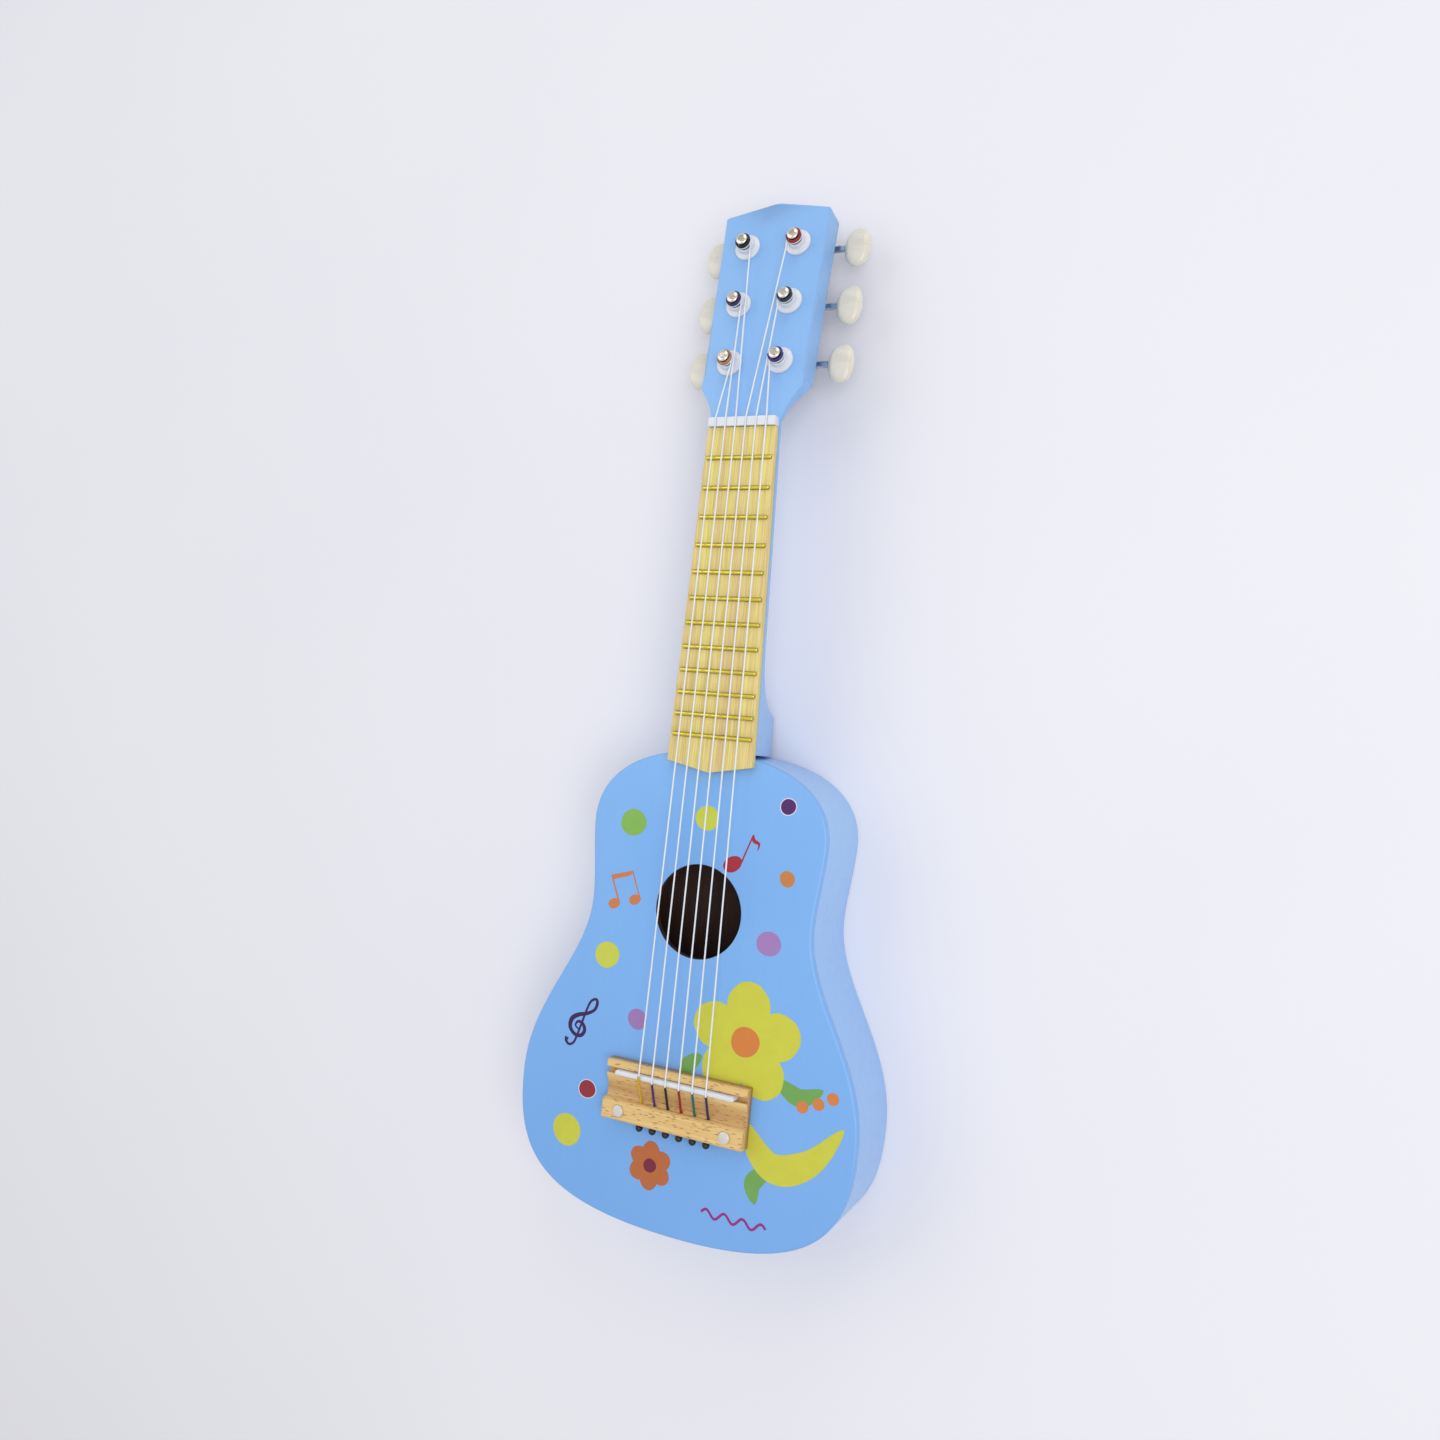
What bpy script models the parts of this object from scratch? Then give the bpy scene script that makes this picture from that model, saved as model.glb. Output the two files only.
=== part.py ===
"""Small six-string acoustic guitar for a child, lying on its back.

X runs across the guitar with the treble side at +X, Y runs along the neck towards the
headstock, and Z points out of the soundboard. The back plate rests on Z = 0 and the
origin is in the middle of the guitar's length and width. Sizes are in metres.
"""

import math

import bmesh
import bpy
from mathutils import Matrix, Vector

# ---------------------------------------------------------------- clearances
GAP = 0.0003            # between pieces that touch or are glued
RUNNING_GAP = 0.0003    # between a turning piece and its bearing

# ---------------------------------------------------------------- whole guitar
NECK_LENGTH = 0.1676    # body end to the nut
BODY_DEPTH = 0.050      # back face to soundboard face
OUTLINE_STEPS = 10      # points along each of the four curves of half the body outline

# ---------------------------------------------------------------- body outline
LOWER_BOUT_HALF_WIDTH = 0.095
WAIST_HALF_WIDTH = 0.0623
UPPER_BOUT_HALF_WIDTH = 0.0658
TAIL_TO_LOWER_BOUT = 0.0655     # lengths between the widest and narrowest places
LOWER_BOUT_TO_WAIST = 0.0990
WAIST_TO_UPPER_BOUT = 0.0413
UPPER_BOUT_TO_END = 0.0412
TAIL_FULLNESS = 0.85            # how square the tail end is, as a share of the half width
LOWER_SIDE_FULLNESS = 0.62
LOWER_TO_WAIST_FULLNESS = 0.407
WAIST_TO_LOWER_FULLNESS = 0.332
WAIST_TO_UPPER_FULLNESS = 0.29
SHOULDER_FULLNESS = 0.62

# ---------------------------------------------------------------- body plates and sides
SOUNDBOARD_THICKNESS = 0.004
BACK_THICKNESS = 0.005
SIDE_THICKNESS = 0.009
PLATE_EDGE_ROUND = 0.0013
SOUND_HOLE_RADIUS = 0.024
SOUND_HOLE_PAST_WAIST = 0.0005  # hole centre from the waist, towards the neck
SOUND_HOLE_EDGE_ROUND = 0.0007

# ---------------------------------------------------------------- inside the body
NECK_BLOCK_HALF_WIDTH = 0.030
NECK_BLOCK_LENGTH = 0.022
TAIL_BLOCK_HALF_WIDTH = 0.034
TAIL_BLOCK_LENGTH = 0.014
BRACE_WIDTH = 0.008
TOP_BRACE_HEIGHT = 0.011
BACK_BRACE_HEIGHT = 0.010
BRACE_END_SHARE = 0.45          # height of a brace at its ends as a share of its middle
TOP_BRACE_BEFORE_HOLE = 0.049   # brace centres from the hole centre
TOP_BRACE_PAST_HOLE = 0.035
BACK_BRACE_BEFORE_HOLE = 0.040

# ---------------------------------------------------------------- strings and fret scale
STRING_COUNT = 6
SADDLE_FROM_TAIL = 0.0785
STRING_RADIUS = 0.00042
NUT_STRING_PITCH = 0.0057
SADDLE_STRING_PITCH = 0.0076

# ---------------------------------------------------------------- fingerboard, frets, nut
BOARD_THICKNESS = 0.0038
BOARD_NUT_HALF_WIDTH = 0.019
BOARD_FLARE = 0.02875           # half width gained per metre towards the body
BOARD_PAST_LAST_FRET = 0.0138   # last fret to the side corners of the free end
BOARD_END_POINT = 0.0047        # how far the middle of the free end points past its corners
FRET_COUNT = 12
FIRST_FRET_SPACE = NECK_LENGTH * 0.09755     # nut to the first fret
FRET_SPACE_RATIO = 0.962        # each space to the one before it
FRET_WIDTH = 0.0019
FRET_CROWN = 0.0010             # above the board
FRET_SEAT = 0.0002              # below the board face
FRET_SLOT_DEPTH = 0.0005
FRET_END_INSET = 0.0010
NUT_LENGTH = 0.0046
NUT_HEIGHT = 0.0055
NUT_NOTCH_DEPTH = 0.0005

# ---------------------------------------------------------------- neck and heel
NECK_DEPTH_AT_NUT = 0.0155
NECK_DEPTH_AT_HEEL = 0.0175
NECK_EDGE_MARGIN = 0.0002       # neck wider than the fingerboard on each side
HEEL_START = 0.068              # where the heel begins, from the body end
HEEL_CAP_LENGTH = 0.021
HEEL_CAP_HEIGHT = 0.004         # heel cap above the back face
HEEL_TAPER = 0.45
SECTION_STEPS = 7

# ---------------------------------------------------------------- headstock
HEAD_TILT = math.radians(7.3)
HEAD_LENGTH = 0.1218            # along the headstock face, from the nut to the peak
HEAD_THICKNESS = 0.0145
HEAD_FACE_DROP = 0.0003         # headstock face below the neck face at the nut
HEAD_ROOT_HALF_WIDTH = 0.0201
HEAD_SHOULDER_HALF_WIDTH = 0.0284
HEAD_SHOULDER_AT = 0.0180       # along the headstock face, from the nut
HEAD_ROOT_LENGTH = 0.0125       # round neck section changes to the flat headstock over this
HEAD_ROOT_INSET = 0.0002        # changing part set in from the flat part's faces
ROOT_SQUARENESS = 0.86
HEAD_TOP_HALF_WIDTH = 0.0296
HEAD_PEAK_RISE = 0.0048
HEAD_EDGE_ROUND = 0.0012

# ---------------------------------------------------------------- bridge and saddle
SADDLE_FROM_BRIDGE_REAR = 0.0244
BRIDGE_DEPTH = 0.0299
BRIDGE_HALF_WIDTH = 0.0396
TIE_BLOCK_HEIGHT = 0.008
TIE_BLOCK_DEPTH = 0.0102
BRIDGE_VALLEY_HEIGHT = 0.0030
SADDLE_RIDGE_HEIGHT = 0.0067
SADDLE_SLOT_DEPTH = 0.0037
SADDLE_THICKNESS = 0.0026
SADDLE_HALF_WIDTH = 0.0336
STRING_OVER_SADDLE = 0.0104     # string centre above the soundboard face
STRING_HOLE_HEIGHT = 0.0043     # above the soundboard face
STRING_HOLE_CLEARANCE = 0.00048 # round a string where it passes through the tie block
STRING_BALL_RADIUS = 0.0019
CAP_RADIUS = 0.0030
CAP_HEIGHT = 0.0009
CAP_STEM_RADIUS = 0.0014
CAP_STEM_LENGTH = 0.0045
CAP_HALF_SPACING = 0.0300

# ---------------------------------------------------------------- machine heads
TUNERS_PER_SIDE = 3
POST_HALF_SPACING = 0.0144      # post axes from the middle line
FIRST_POST_AT = 0.0318          # along the headstock face, from the nut
POST_PITCH = 0.0329
POST_RADIUS = 0.0030
POST_HEIGHT = 0.0100            # above the headstock face
BUSHING_WALL = 0.0012           # collar wall round the post
BUSHING_FLANGE_REACH = 0.0026   # flange beyond the collar
BUSHING_FLANGE_THICKNESS = 0.0012
BUSHING_COLLAR_TOP = 0.0042
BUSHING_SLEEVE_STEP = 0.0001    # sleeve in the headstock wider than the collar
COIL_ABOVE_COLLAR = 0.0010      # centre of the first string turn above the collar
COIL_TURN_GAP = 0.00012         # between neighbouring turns
COIL_TURNS = 3
COIL_STEPS_PER_TURN = 9
PLATE_THICKNESS = 0.0010
PLATE_INNER = 0.0080            # inner edge from the middle line
PLATE_OUTER = 0.0235
PLATE_END_MARGIN = 0.0085
LUG_THICKNESS = 0.0012
LUG_HALF_WIDTH = 0.0033
LUG_SPACING = 0.0088            # between the two lugs of one tuner
RIVET_RADIUS = 0.0022
RIVET_HEIGHT = 0.0009
GEAR_TEETH = 12
GEAR_PITCH_RADIUS = 0.0042
GEAR_ADDENDUM = 0.0004
GEAR_THICKNESS = 0.0038
TOOTH_TIP_WIDTH = 0.0005
TOOTH_ROOT_WIDTH = 0.0009
WORM_PITCH_RADIUS = 0.0022
WORM_ADDENDUM = 0.0005
WORM_HALF_LENGTH = 0.0028
MESH_CLEARANCE = 0.0003         # tip of each to the root of the other
SHAFT_RADIUS = 0.00185
SHAFT_COLLAR_RADIUS = 0.0026
SHAFT_TIP_RADIUS = 0.0012
BUTTON_LENGTH = 0.0137          # along the shaft
BUTTON_WIDTH = 0.0213
BUTTON_THICKNESS = 0.0070
BUTTON_CENTRE = 0.0404          # from the middle line
BUTTON_BORE_DEPTH = 0.0060

# ---------------------------------------------------------------- colours
PAINT_BLUE = (0.30, 0.52, 0.84, 1.0)
SIDE_BLUE = (0.36, 0.57, 0.86, 1.0)
BARE_WOOD = (0.72, 0.55, 0.33, 1.0)
BOARD_WOOD = (0.68, 0.52, 0.22, 1.0)
BRIDGE_WOOD = (0.74, 0.49, 0.22, 1.0)
FRET_METAL = (0.80, 0.62, 0.30, 1.0)
WHITE_PLASTIC = (0.86, 0.86, 0.87, 1.0)
PEARL_PLASTIC = (0.83, 0.82, 0.74, 1.0)
BRIGHT_STEEL = (0.62, 0.61, 0.60, 1.0)
DARK_STEEL = (0.20, 0.20, 0.23, 1.0)
STRING_WHITE = (0.90, 0.90, 0.92, 1.0)

# ---------------------------------------------------------------- places that follow from these
BODY_LENGTH = TAIL_TO_LOWER_BOUT + LOWER_BOUT_TO_WAIST + WAIST_TO_UPPER_BOUT + UPPER_BOUT_TO_END
HEAD_REACH = HEAD_LENGTH * math.cos(HEAD_TILT)
TOTAL_LENGTH = BODY_LENGTH + NECK_LENGTH + NUT_LENGTH + HEAD_REACH
TAIL_Y = -TOTAL_LENGTH / 2
BODY_END_Y = TAIL_Y + BODY_LENGTH
LOWER_BOUT_Y = TAIL_Y + TAIL_TO_LOWER_BOUT
WAIST_Y = LOWER_BOUT_Y + LOWER_BOUT_TO_WAIST
UPPER_BOUT_Y = WAIST_Y + WAIST_TO_UPPER_BOUT
SOUND_HOLE_Y = WAIST_Y + SOUND_HOLE_PAST_WAIST
NUT_FACE_Y = BODY_END_Y + NECK_LENGTH
NUT_END_Y = NUT_FACE_Y + NUT_LENGTH
SADDLE_Y = TAIL_Y + SADDLE_FROM_TAIL
BOARD_TOP = BODY_DEPTH + GAP + BOARD_THICKNESS
NUT_TOP = BODY_DEPTH + GAP + NUT_HEIGHT
NUT_STRING_HEIGHT = NUT_TOP - NUT_NOTCH_DEPTH + GAP + STRING_RADIUS
SADDLE_STRING_HEIGHT = BODY_DEPTH + STRING_OVER_SADDLE
BRIDGE_REAR_Y = SADDLE_Y - SADDLE_FROM_BRIDGE_REAR
BRIDGE_BASE = BODY_DEPTH + GAP
SLOT_HALF_WIDTH = SADDLE_THICKNESS / 2 + GAP
STRING_HOLE_RADIUS = STRING_RADIUS + STRING_HOLE_CLEARANCE
BUSHING_COLLAR_RADIUS = POST_RADIUS + RUNNING_GAP + BUSHING_WALL
BUSHING_FLANGE_RADIUS = BUSHING_COLLAR_RADIUS + BUSHING_FLANGE_REACH
BUSHING_SLEEVE_RADIUS = BUSHING_COLLAR_RADIUS + BUSHING_SLEEVE_STEP
COIL_START = BUSHING_COLLAR_TOP + COIL_ABOVE_COLLAR
COIL_PITCH = 2 * STRING_RADIUS + COIL_TURN_GAP
GEAR_OUTER_RADIUS = GEAR_PITCH_RADIUS + GEAR_ADDENDUM
WORM_OUTER_RADIUS = WORM_PITCH_RADIUS + WORM_ADDENDUM
AXLE_SPACING = GEAR_PITCH_RADIUS + WORM_PITCH_RADIUS
PLATE_FRONT = -HEAD_THICKNESS - GAP
PLATE_REAR = PLATE_FRONT - PLATE_THICKNESS
AXLE_DEPTH = PLATE_REAR - WORM_OUTER_RADIUS - 2 * RUNNING_GAP
WORM_LEAD = 2 * math.pi * GEAR_PITCH_RADIUS / GEAR_TEETH
WORM_ROOT_RADIUS = AXLE_SPACING - GEAR_OUTER_RADIUS - MESH_CLEARANCE
GEAR_ROOT_RADIUS = AXLE_SPACING - WORM_OUTER_RADIUS - MESH_CLEARANCE
COIL_RADIUS = POST_RADIUS + RUNNING_GAP + STRING_RADIUS

HEAD_ALONG = Vector((0.0, math.cos(HEAD_TILT), -math.sin(HEAD_TILT)))
HEAD_OUT = Vector((0.0, math.sin(HEAD_TILT), math.cos(HEAD_TILT)))
HEAD_ORIGIN = Vector((0.0, NUT_END_Y, BODY_DEPTH - HEAD_FACE_DROP))

PIECES = {}


# ---------------------------------------------------------------- helpers
def clear_scene():
    for item in list(bpy.data.objects):
        bpy.data.objects.remove(item, do_unlink=True)


def make_material(name, colour, roughness, metallic):
    material = bpy.data.materials.new(name)
    material.use_nodes = True
    shader = material.node_tree.nodes["Principled BSDF"]
    shader.inputs["Base Color"].default_value = colour
    shader.inputs["Roughness"].default_value = roughness
    shader.inputs["Metallic"].default_value = metallic
    return material


def head_frame(x, along, out):
    """Placement of a piece whose local axes are across, along and out of the headstock."""
    place = HEAD_ORIGIN + Vector((x, 0.0, 0.0)) + HEAD_ALONG * along + HEAD_OUT * out
    turn = Matrix((Vector((1.0, 0.0, 0.0)), HEAD_ALONG, HEAD_OUT)).transposed()
    return Matrix.Translation(place) @ turn.to_4x4()


def finish(name, mesh, material, smooth_angle=None, placement=None):
    """Turn a bmesh into a named object with outward faces."""
    bmesh.ops.recalc_face_normals(mesh, faces=mesh.faces)
    data = bpy.data.meshes.new(name)
    mesh.to_mesh(data)
    mesh.free()
    piece = bpy.data.objects.new(name, data)
    bpy.context.scene.collection.objects.link(piece)
    if placement is not None:
        piece.matrix_world = placement
    if material is not None:
        data.materials.append(material)
    if smooth_angle is not None:
        data.shade_smooth()
        data.set_sharp_from_angle(angle=math.radians(smooth_angle))
    PIECES[name] = piece
    return piece


def mesh_from(verts, faces):
    mesh = bmesh.new()
    made = [mesh.verts.new(v) for v in verts]
    for face in faces:
        mesh.faces.new([made[i] for i in face])
    return mesh


def rings_mesh(rings, cap_start=True, cap_end=True, closed_path=False):
    """Skin equal closed rings of points into one surface."""
    count = len(rings[0])
    verts = [point for ring in rings for point in ring]
    faces = []
    last = len(rings) if closed_path else len(rings) - 1
    for i in range(last):
        a = i * count
        b = ((i + 1) % len(rings)) * count
        for j in range(count):
            k = (j + 1) % count
            faces.append((a + j, a + k, b + k, b + j))
    if cap_start and not closed_path:
        faces.append(tuple(reversed(range(count))))
    if cap_end and not closed_path:
        start = (len(rings) - 1) * count
        faces.append(tuple(range(start, start + count)))
    return mesh_from(verts, faces)


def prism_mesh(outline, low, high):
    """Extrude a closed plan outline of (x, y) points from one height to another."""
    lower = [(x, y, low) for x, y in outline]
    upper = [(x, y, high) for x, y in outline]
    return rings_mesh([lower, upper])


def box_mesh(low, high):
    corners = [(low[0], low[1]), (high[0], low[1]), (high[0], high[1]), (low[0], high[1])]
    return prism_mesh(corners, low[2], high[2])


def lathe_mesh(profile, segments, axis="Z", phase=0.0):
    """Spin (radius, height) points about an axis; a ring profile closes on itself."""
    rings = []
    for k in range(segments):
        angle = phase + 2 * math.pi * k / segments
        cos, sin = math.cos(angle), math.sin(angle)
        if axis == "Z":
            rings.append([(r * cos, r * sin, h) for r, h in profile])
        else:
            rings.append([(h, r * cos, r * sin) for r, h in profile])
    return rings_mesh(rings, closed_path=True)


def solid_lathe_mesh(profile, segments, axis="Z"):
    """Spin (radius, height) points into a solid with flat or pointed ends on the axis."""
    rings = []
    for r, h in profile:
        ring = []
        for k in range(segments):
            angle = 2 * math.pi * k / segments
            cos, sin = r * math.cos(angle), r * math.sin(angle)
            ring.append((cos, sin, h) if axis == "Z" else (h, cos, sin))
        rings.append(ring)
    return rings_mesh(rings)


def carve(piece, cutters, operation="DIFFERENCE"):
    """Cut pieces away from, or join them into, one piece and keep the result."""
    for number, cutter in enumerate(cutters):
        step = piece.modifiers.new("step_%d" % number, "BOOLEAN")
        step.operation = operation
        step.solver = "EXACT"
        step.object = cutter
    bpy.context.view_layer.update()
    graph = bpy.context.evaluated_depsgraph_get()
    result = bpy.data.meshes.new_from_object(piece.evaluated_get(graph))
    piece.modifiers.clear()
    piece.data = result
    for cutter in cutters:
        PIECES.pop(cutter.name, None)
        bpy.data.objects.remove(cutter, do_unlink=True)


def smooth(piece, angle):
    piece.data.shade_smooth()
    piece.data.set_sharp_from_angle(angle=math.radians(angle))


def curve_points(start, reach_start, reach_end, end, steps):
    points = []
    for k in range(steps):
        t = k / steps
        u = 1 - t
        points.append((
            u ** 3 * start[0] + 3 * u * u * t * reach_start[0]
            + 3 * u * t * t * reach_end[0] + t ** 3 * end[0],
            u ** 3 * start[1] + 3 * u * u * t * reach_start[1]
            + 3 * u * t * t * reach_end[1] + t ** 3 * end[1],
        ))
    return points


def mirrored(half):
    """Close a half outline that starts and ends on the middle line."""
    left = [(-x, y) for x, y in reversed(half[1:-1])]
    return half + left


def body_outline():
    """Plan outline of the body, from the tail round the treble side, closed by mirroring."""
    lower, waist, upper = LOWER_BOUT_HALF_WIDTH, WAIST_HALF_WIDTH, UPPER_BOUT_HALF_WIDTH
    below_lower = LOWER_SIDE_FULLNESS * TAIL_TO_LOWER_BOUT
    above_lower = LOWER_TO_WAIST_FULLNESS * LOWER_BOUT_TO_WAIST
    below_waist = WAIST_TO_LOWER_FULLNESS * LOWER_BOUT_TO_WAIST
    near_waist = WAIST_TO_UPPER_FULLNESS * WAIST_TO_UPPER_BOUT
    shoulder = SHOULDER_FULLNESS * UPPER_BOUT_TO_END
    corners = [
        ((0.0, TAIL_Y), (TAIL_FULLNESS * lower, TAIL_Y),
         (lower, LOWER_BOUT_Y - below_lower), (lower, LOWER_BOUT_Y)),
        ((lower, LOWER_BOUT_Y), (lower, LOWER_BOUT_Y + above_lower),
         (waist, WAIST_Y - below_waist), (waist, WAIST_Y)),
        ((waist, WAIST_Y), (waist, WAIST_Y + near_waist),
         (upper, UPPER_BOUT_Y - near_waist), (upper, UPPER_BOUT_Y)),
        ((upper, UPPER_BOUT_Y), (upper, UPPER_BOUT_Y + shoulder),
         (SHOULDER_FULLNESS * upper, BODY_END_Y), (0.0, BODY_END_Y)),
    ]
    half = []
    for start, reach_start, reach_end, end in corners:
        half += curve_points(start, reach_start, reach_end, end, OUTLINE_STEPS)
    half.append((0.0, BODY_END_Y))
    return mirrored(half)


def offset_outline(outline, distance):
    """Move every point of a closed outline inwards along its normal."""
    moved = []
    count = len(outline)
    for k in range(count):
        before, after = outline[k - 1], outline[(k + 1) % count]
        dx, dy = after[0] - before[0], after[1] - before[1]
        length = math.hypot(dx, dy)
        x = outline[k][0] - dy / length * distance
        y = outline[k][1] + dx / length * distance
        moved.append((x, y))
    return moved


def half_width_at(outline, y):
    """Largest x of a closed outline at one y."""
    best = 0.0
    count = len(outline)
    for k in range(count):
        (x0, y0), (x1, y1) = outline[k], outline[(k + 1) % count]
        if (y0 - y) * (y1 - y) <= 0 and y0 != y1:
            best = max(best, x0 + (x1 - x0) * (y - y0) / (y1 - y0))
    return best


def board_half_width(y):
    return BOARD_NUT_HALF_WIDTH + BOARD_FLARE * (NUT_FACE_Y - y)


def fret_y(number):
    ratio = FRET_SPACE_RATIO
    return NUT_FACE_Y - FIRST_FRET_SPACE * (1 - ratio ** number) / (1 - ratio)


# ---------------------------------------------------------------- body
def rounded_plate(name, outline, low, high, round_top, material):
    """Plate with one rounded rim; the rim faces away from the sides."""
    r = PLATE_EDGE_ROUND
    levels = []
    for step in range(3):
        a = math.radians(45 * step)
        levels.append((r * (1 - math.cos(a)), high - r + r * math.sin(a)))
    rim = [[(x, y, z) for x, y in offset_outline(outline, inset)] for inset, z in levels]
    rings = [[(x, y, low) for x, y in outline]] + rim
    if not round_top:
        rings = [[(x, y, low + high - z) for x, y, z in ring] for ring in rings]
    return finish(name, rings_mesh(rings), material)


def build_body(paint, side_paint, bare):
    outline = body_outline()
    inner = offset_outline(outline, SIDE_THICKNESS)
    sides_low = BACK_THICKNESS + GAP
    sides_high = BODY_DEPTH - SOUNDBOARD_THICKNESS - GAP

    soundboard = rounded_plate(
        "soundboard", outline, BODY_DEPTH - SOUNDBOARD_THICKNESS, BODY_DEPTH, True, paint)
    r, e = SOUND_HOLE_RADIUS, SOUND_HOLE_EDGE_ROUND
    low, high = BODY_DEPTH - SOUNDBOARD_THICKNESS - 0.002, BODY_DEPTH + 0.002
    hole_profile = [(r, low), (r, BODY_DEPTH - e), (r + e, BODY_DEPTH), (r + e, high)]
    hole = finish("hole_cutter", solid_lathe_mesh(hole_profile, 40), None)
    hole.location = (0.0, SOUND_HOLE_Y, 0.0)
    carve(soundboard, [hole])
    smooth(soundboard, 35)

    back = rounded_plate("back_plate", outline, 0.0, BACK_THICKNESS, False, side_paint)
    smooth(back, 35)

    loops = []
    for z in (sides_low, sides_high):
        loops.append(([(x, y, z) for x, y in outline], [(x, y, z) for x, y in inner]))
    rings = [loops[0][0], loops[1][0], loops[1][1], loops[0][1]]
    finish("body_sides", rings_mesh(rings, closed_path=True), side_paint, 35)

    near = offset_outline(outline, SIDE_THICKNESS + GAP)
    low, high = sides_low, sides_high
    reach = BODY_END_Y - NECK_BLOCK_LENGTH - SIDE_THICKNESS
    finish("neck_block", prism_mesh(
        block_outline(near, NECK_BLOCK_HALF_WIDTH, reach, True), low, high), bare)
    reach = TAIL_Y + TAIL_BLOCK_LENGTH + SIDE_THICKNESS
    finish("tail_block", prism_mesh(
        block_outline(near, TAIL_BLOCK_HALF_WIDTH, reach, False), low, high), bare)

    top = BODY_DEPTH - SOUNDBOARD_THICKNESS - GAP
    lower_brace = SOUND_HOLE_Y - TOP_BRACE_BEFORE_HOLE
    upper_brace = SOUND_HOLE_Y + TOP_BRACE_PAST_HOLE
    build_brace("top_brace_lower", near, lower_brace, top, -TOP_BRACE_HEIGHT, bare)
    build_brace("top_brace_upper", near, upper_brace, top, -TOP_BRACE_HEIGHT, bare)
    bottom = BACK_THICKNESS + GAP
    back_brace = SOUND_HOLE_Y - BACK_BRACE_BEFORE_HOLE
    build_brace("back_brace", near, back_brace, bottom, BACK_BRACE_HEIGHT, bare)


def block_outline(near, half_width, reach, at_neck):
    """Block that follows the inside of one end of the body."""
    side = 1 if at_neck else -1
    follow = [(x, y) for x, y in near if abs(x) < half_width and side * (y - reach) > 0]
    follow.sort()
    count = len(near)
    for k in range(count):
        (x0, y0), (x1, y1) = near[k], near[(k + 1) % count]
        if (x0 - half_width) * (x1 - half_width) < 0 and side * (y0 - reach) > 0:
            y = y0 + (y1 - y0) * (half_width - x0) / (x1 - x0)
            follow = [(-half_width, y)] + follow + [(half_width, y)]
    return follow + [(half_width, reach), (-half_width, reach)]


def build_brace(name, near, y, seat, height, material):
    """Straight bar glued across a plate, thinner towards both ends."""
    ends = min(half_width_at(near, y - BRACE_WIDTH / 2), half_width_at(near, y + BRACE_WIDTH / 2))
    half = ends - GAP
    profile = [(-half, seat), (half, seat), (half, seat + height * BRACE_END_SHARE),
               (half * 0.6, seat + height), (-half * 0.6, seat + height),
               (-half, seat + height * BRACE_END_SHARE)]
    rings = []
    for side in (-1, 1):
        rings.append([(x, y + side * BRACE_WIDTH / 2, z) for x, z in profile])
    finish(name, rings_mesh(rings), material)


# ---------------------------------------------------------------- neck and headstock
def neck_ring(y, half_width, top, depth, heel):
    """One cross-section of the neck; heel is 0 for the round shaft and 1 for the heel."""
    ring = []
    for k in range(SECTION_STEPS + 1):
        a = math.pi / 2 * k / SECTION_STEPS
        shaft = math.cos(a)
        foot = 0.0 if k == SECTION_STEPS else 1 - HEEL_TAPER * math.sin(a) ** 1.3
        x = half_width * ((1 - heel) * shaft + heel * foot)
        ring.append((x, y, top - depth * math.sin(a)))
    ring += [(-x, y, z) for x, y, z in reversed(ring[:-1])]
    return ring


def head_outline():
    """Headstock outline in the plane of its face, from the nut to the peak and back."""
    top = HEAD_LENGTH - HEAD_PEAK_RISE
    half = curve_points(
        (HEAD_ROOT_HALF_WIDTH, 0.0),
        (HEAD_ROOT_HALF_WIDTH + 0.0006, HEAD_SHOULDER_AT * 0.36),
        (HEAD_ROOT_HALF_WIDTH + 0.0034, HEAD_SHOULDER_AT * 0.60),
        (HEAD_SHOULDER_HALF_WIDTH, HEAD_SHOULDER_AT), 6)
    half += [
        (HEAD_SHOULDER_HALF_WIDTH - 0.0003, HEAD_SHOULDER_AT - 0.0004),
        (HEAD_SHOULDER_HALF_WIDTH + 0.0001, HEAD_SHOULDER_AT + 0.0012),
        (HEAD_TOP_HALF_WIDTH, top - 0.0012),
        (HEAD_TOP_HALF_WIDTH - 0.0003, top - 0.0003),
        (HEAD_TOP_HALF_WIDTH - 0.0012, top + 0.0002),
        (0.0030, HEAD_LENGTH - 0.0003),
        (0.0012, HEAD_LENGTH),
    ]
    return half + [(-x, y) for x, y in reversed(half)]


def root_ring(outline, share):
    """Section of the headstock's root, from nearly round at the nut to flat sided."""
    along = HEAD_ROOT_LENGTH * share
    half_width = half_width_at(outline, along) - HEAD_ROOT_INSET
    square = 1 - ROOT_SQUARENESS * min(share, 1.0) ** 1.5
    ring = []
    for k in range(SECTION_STEPS + 1):
        a = math.pi / 2 * k / SECTION_STEPS
        x = half_width * max(math.cos(a), 0.0) ** square
        out = -HEAD_ROOT_INSET - (HEAD_THICKNESS - 2 * HEAD_ROOT_INSET) * math.sin(a) ** square
        ring.append((x if k < SECTION_STEPS else 0.0, out))
    ring += [(-x, out) for x, out in reversed(ring[:-1])]
    return [tuple(head_point(x, along, out)) for x, out in ring]


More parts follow.
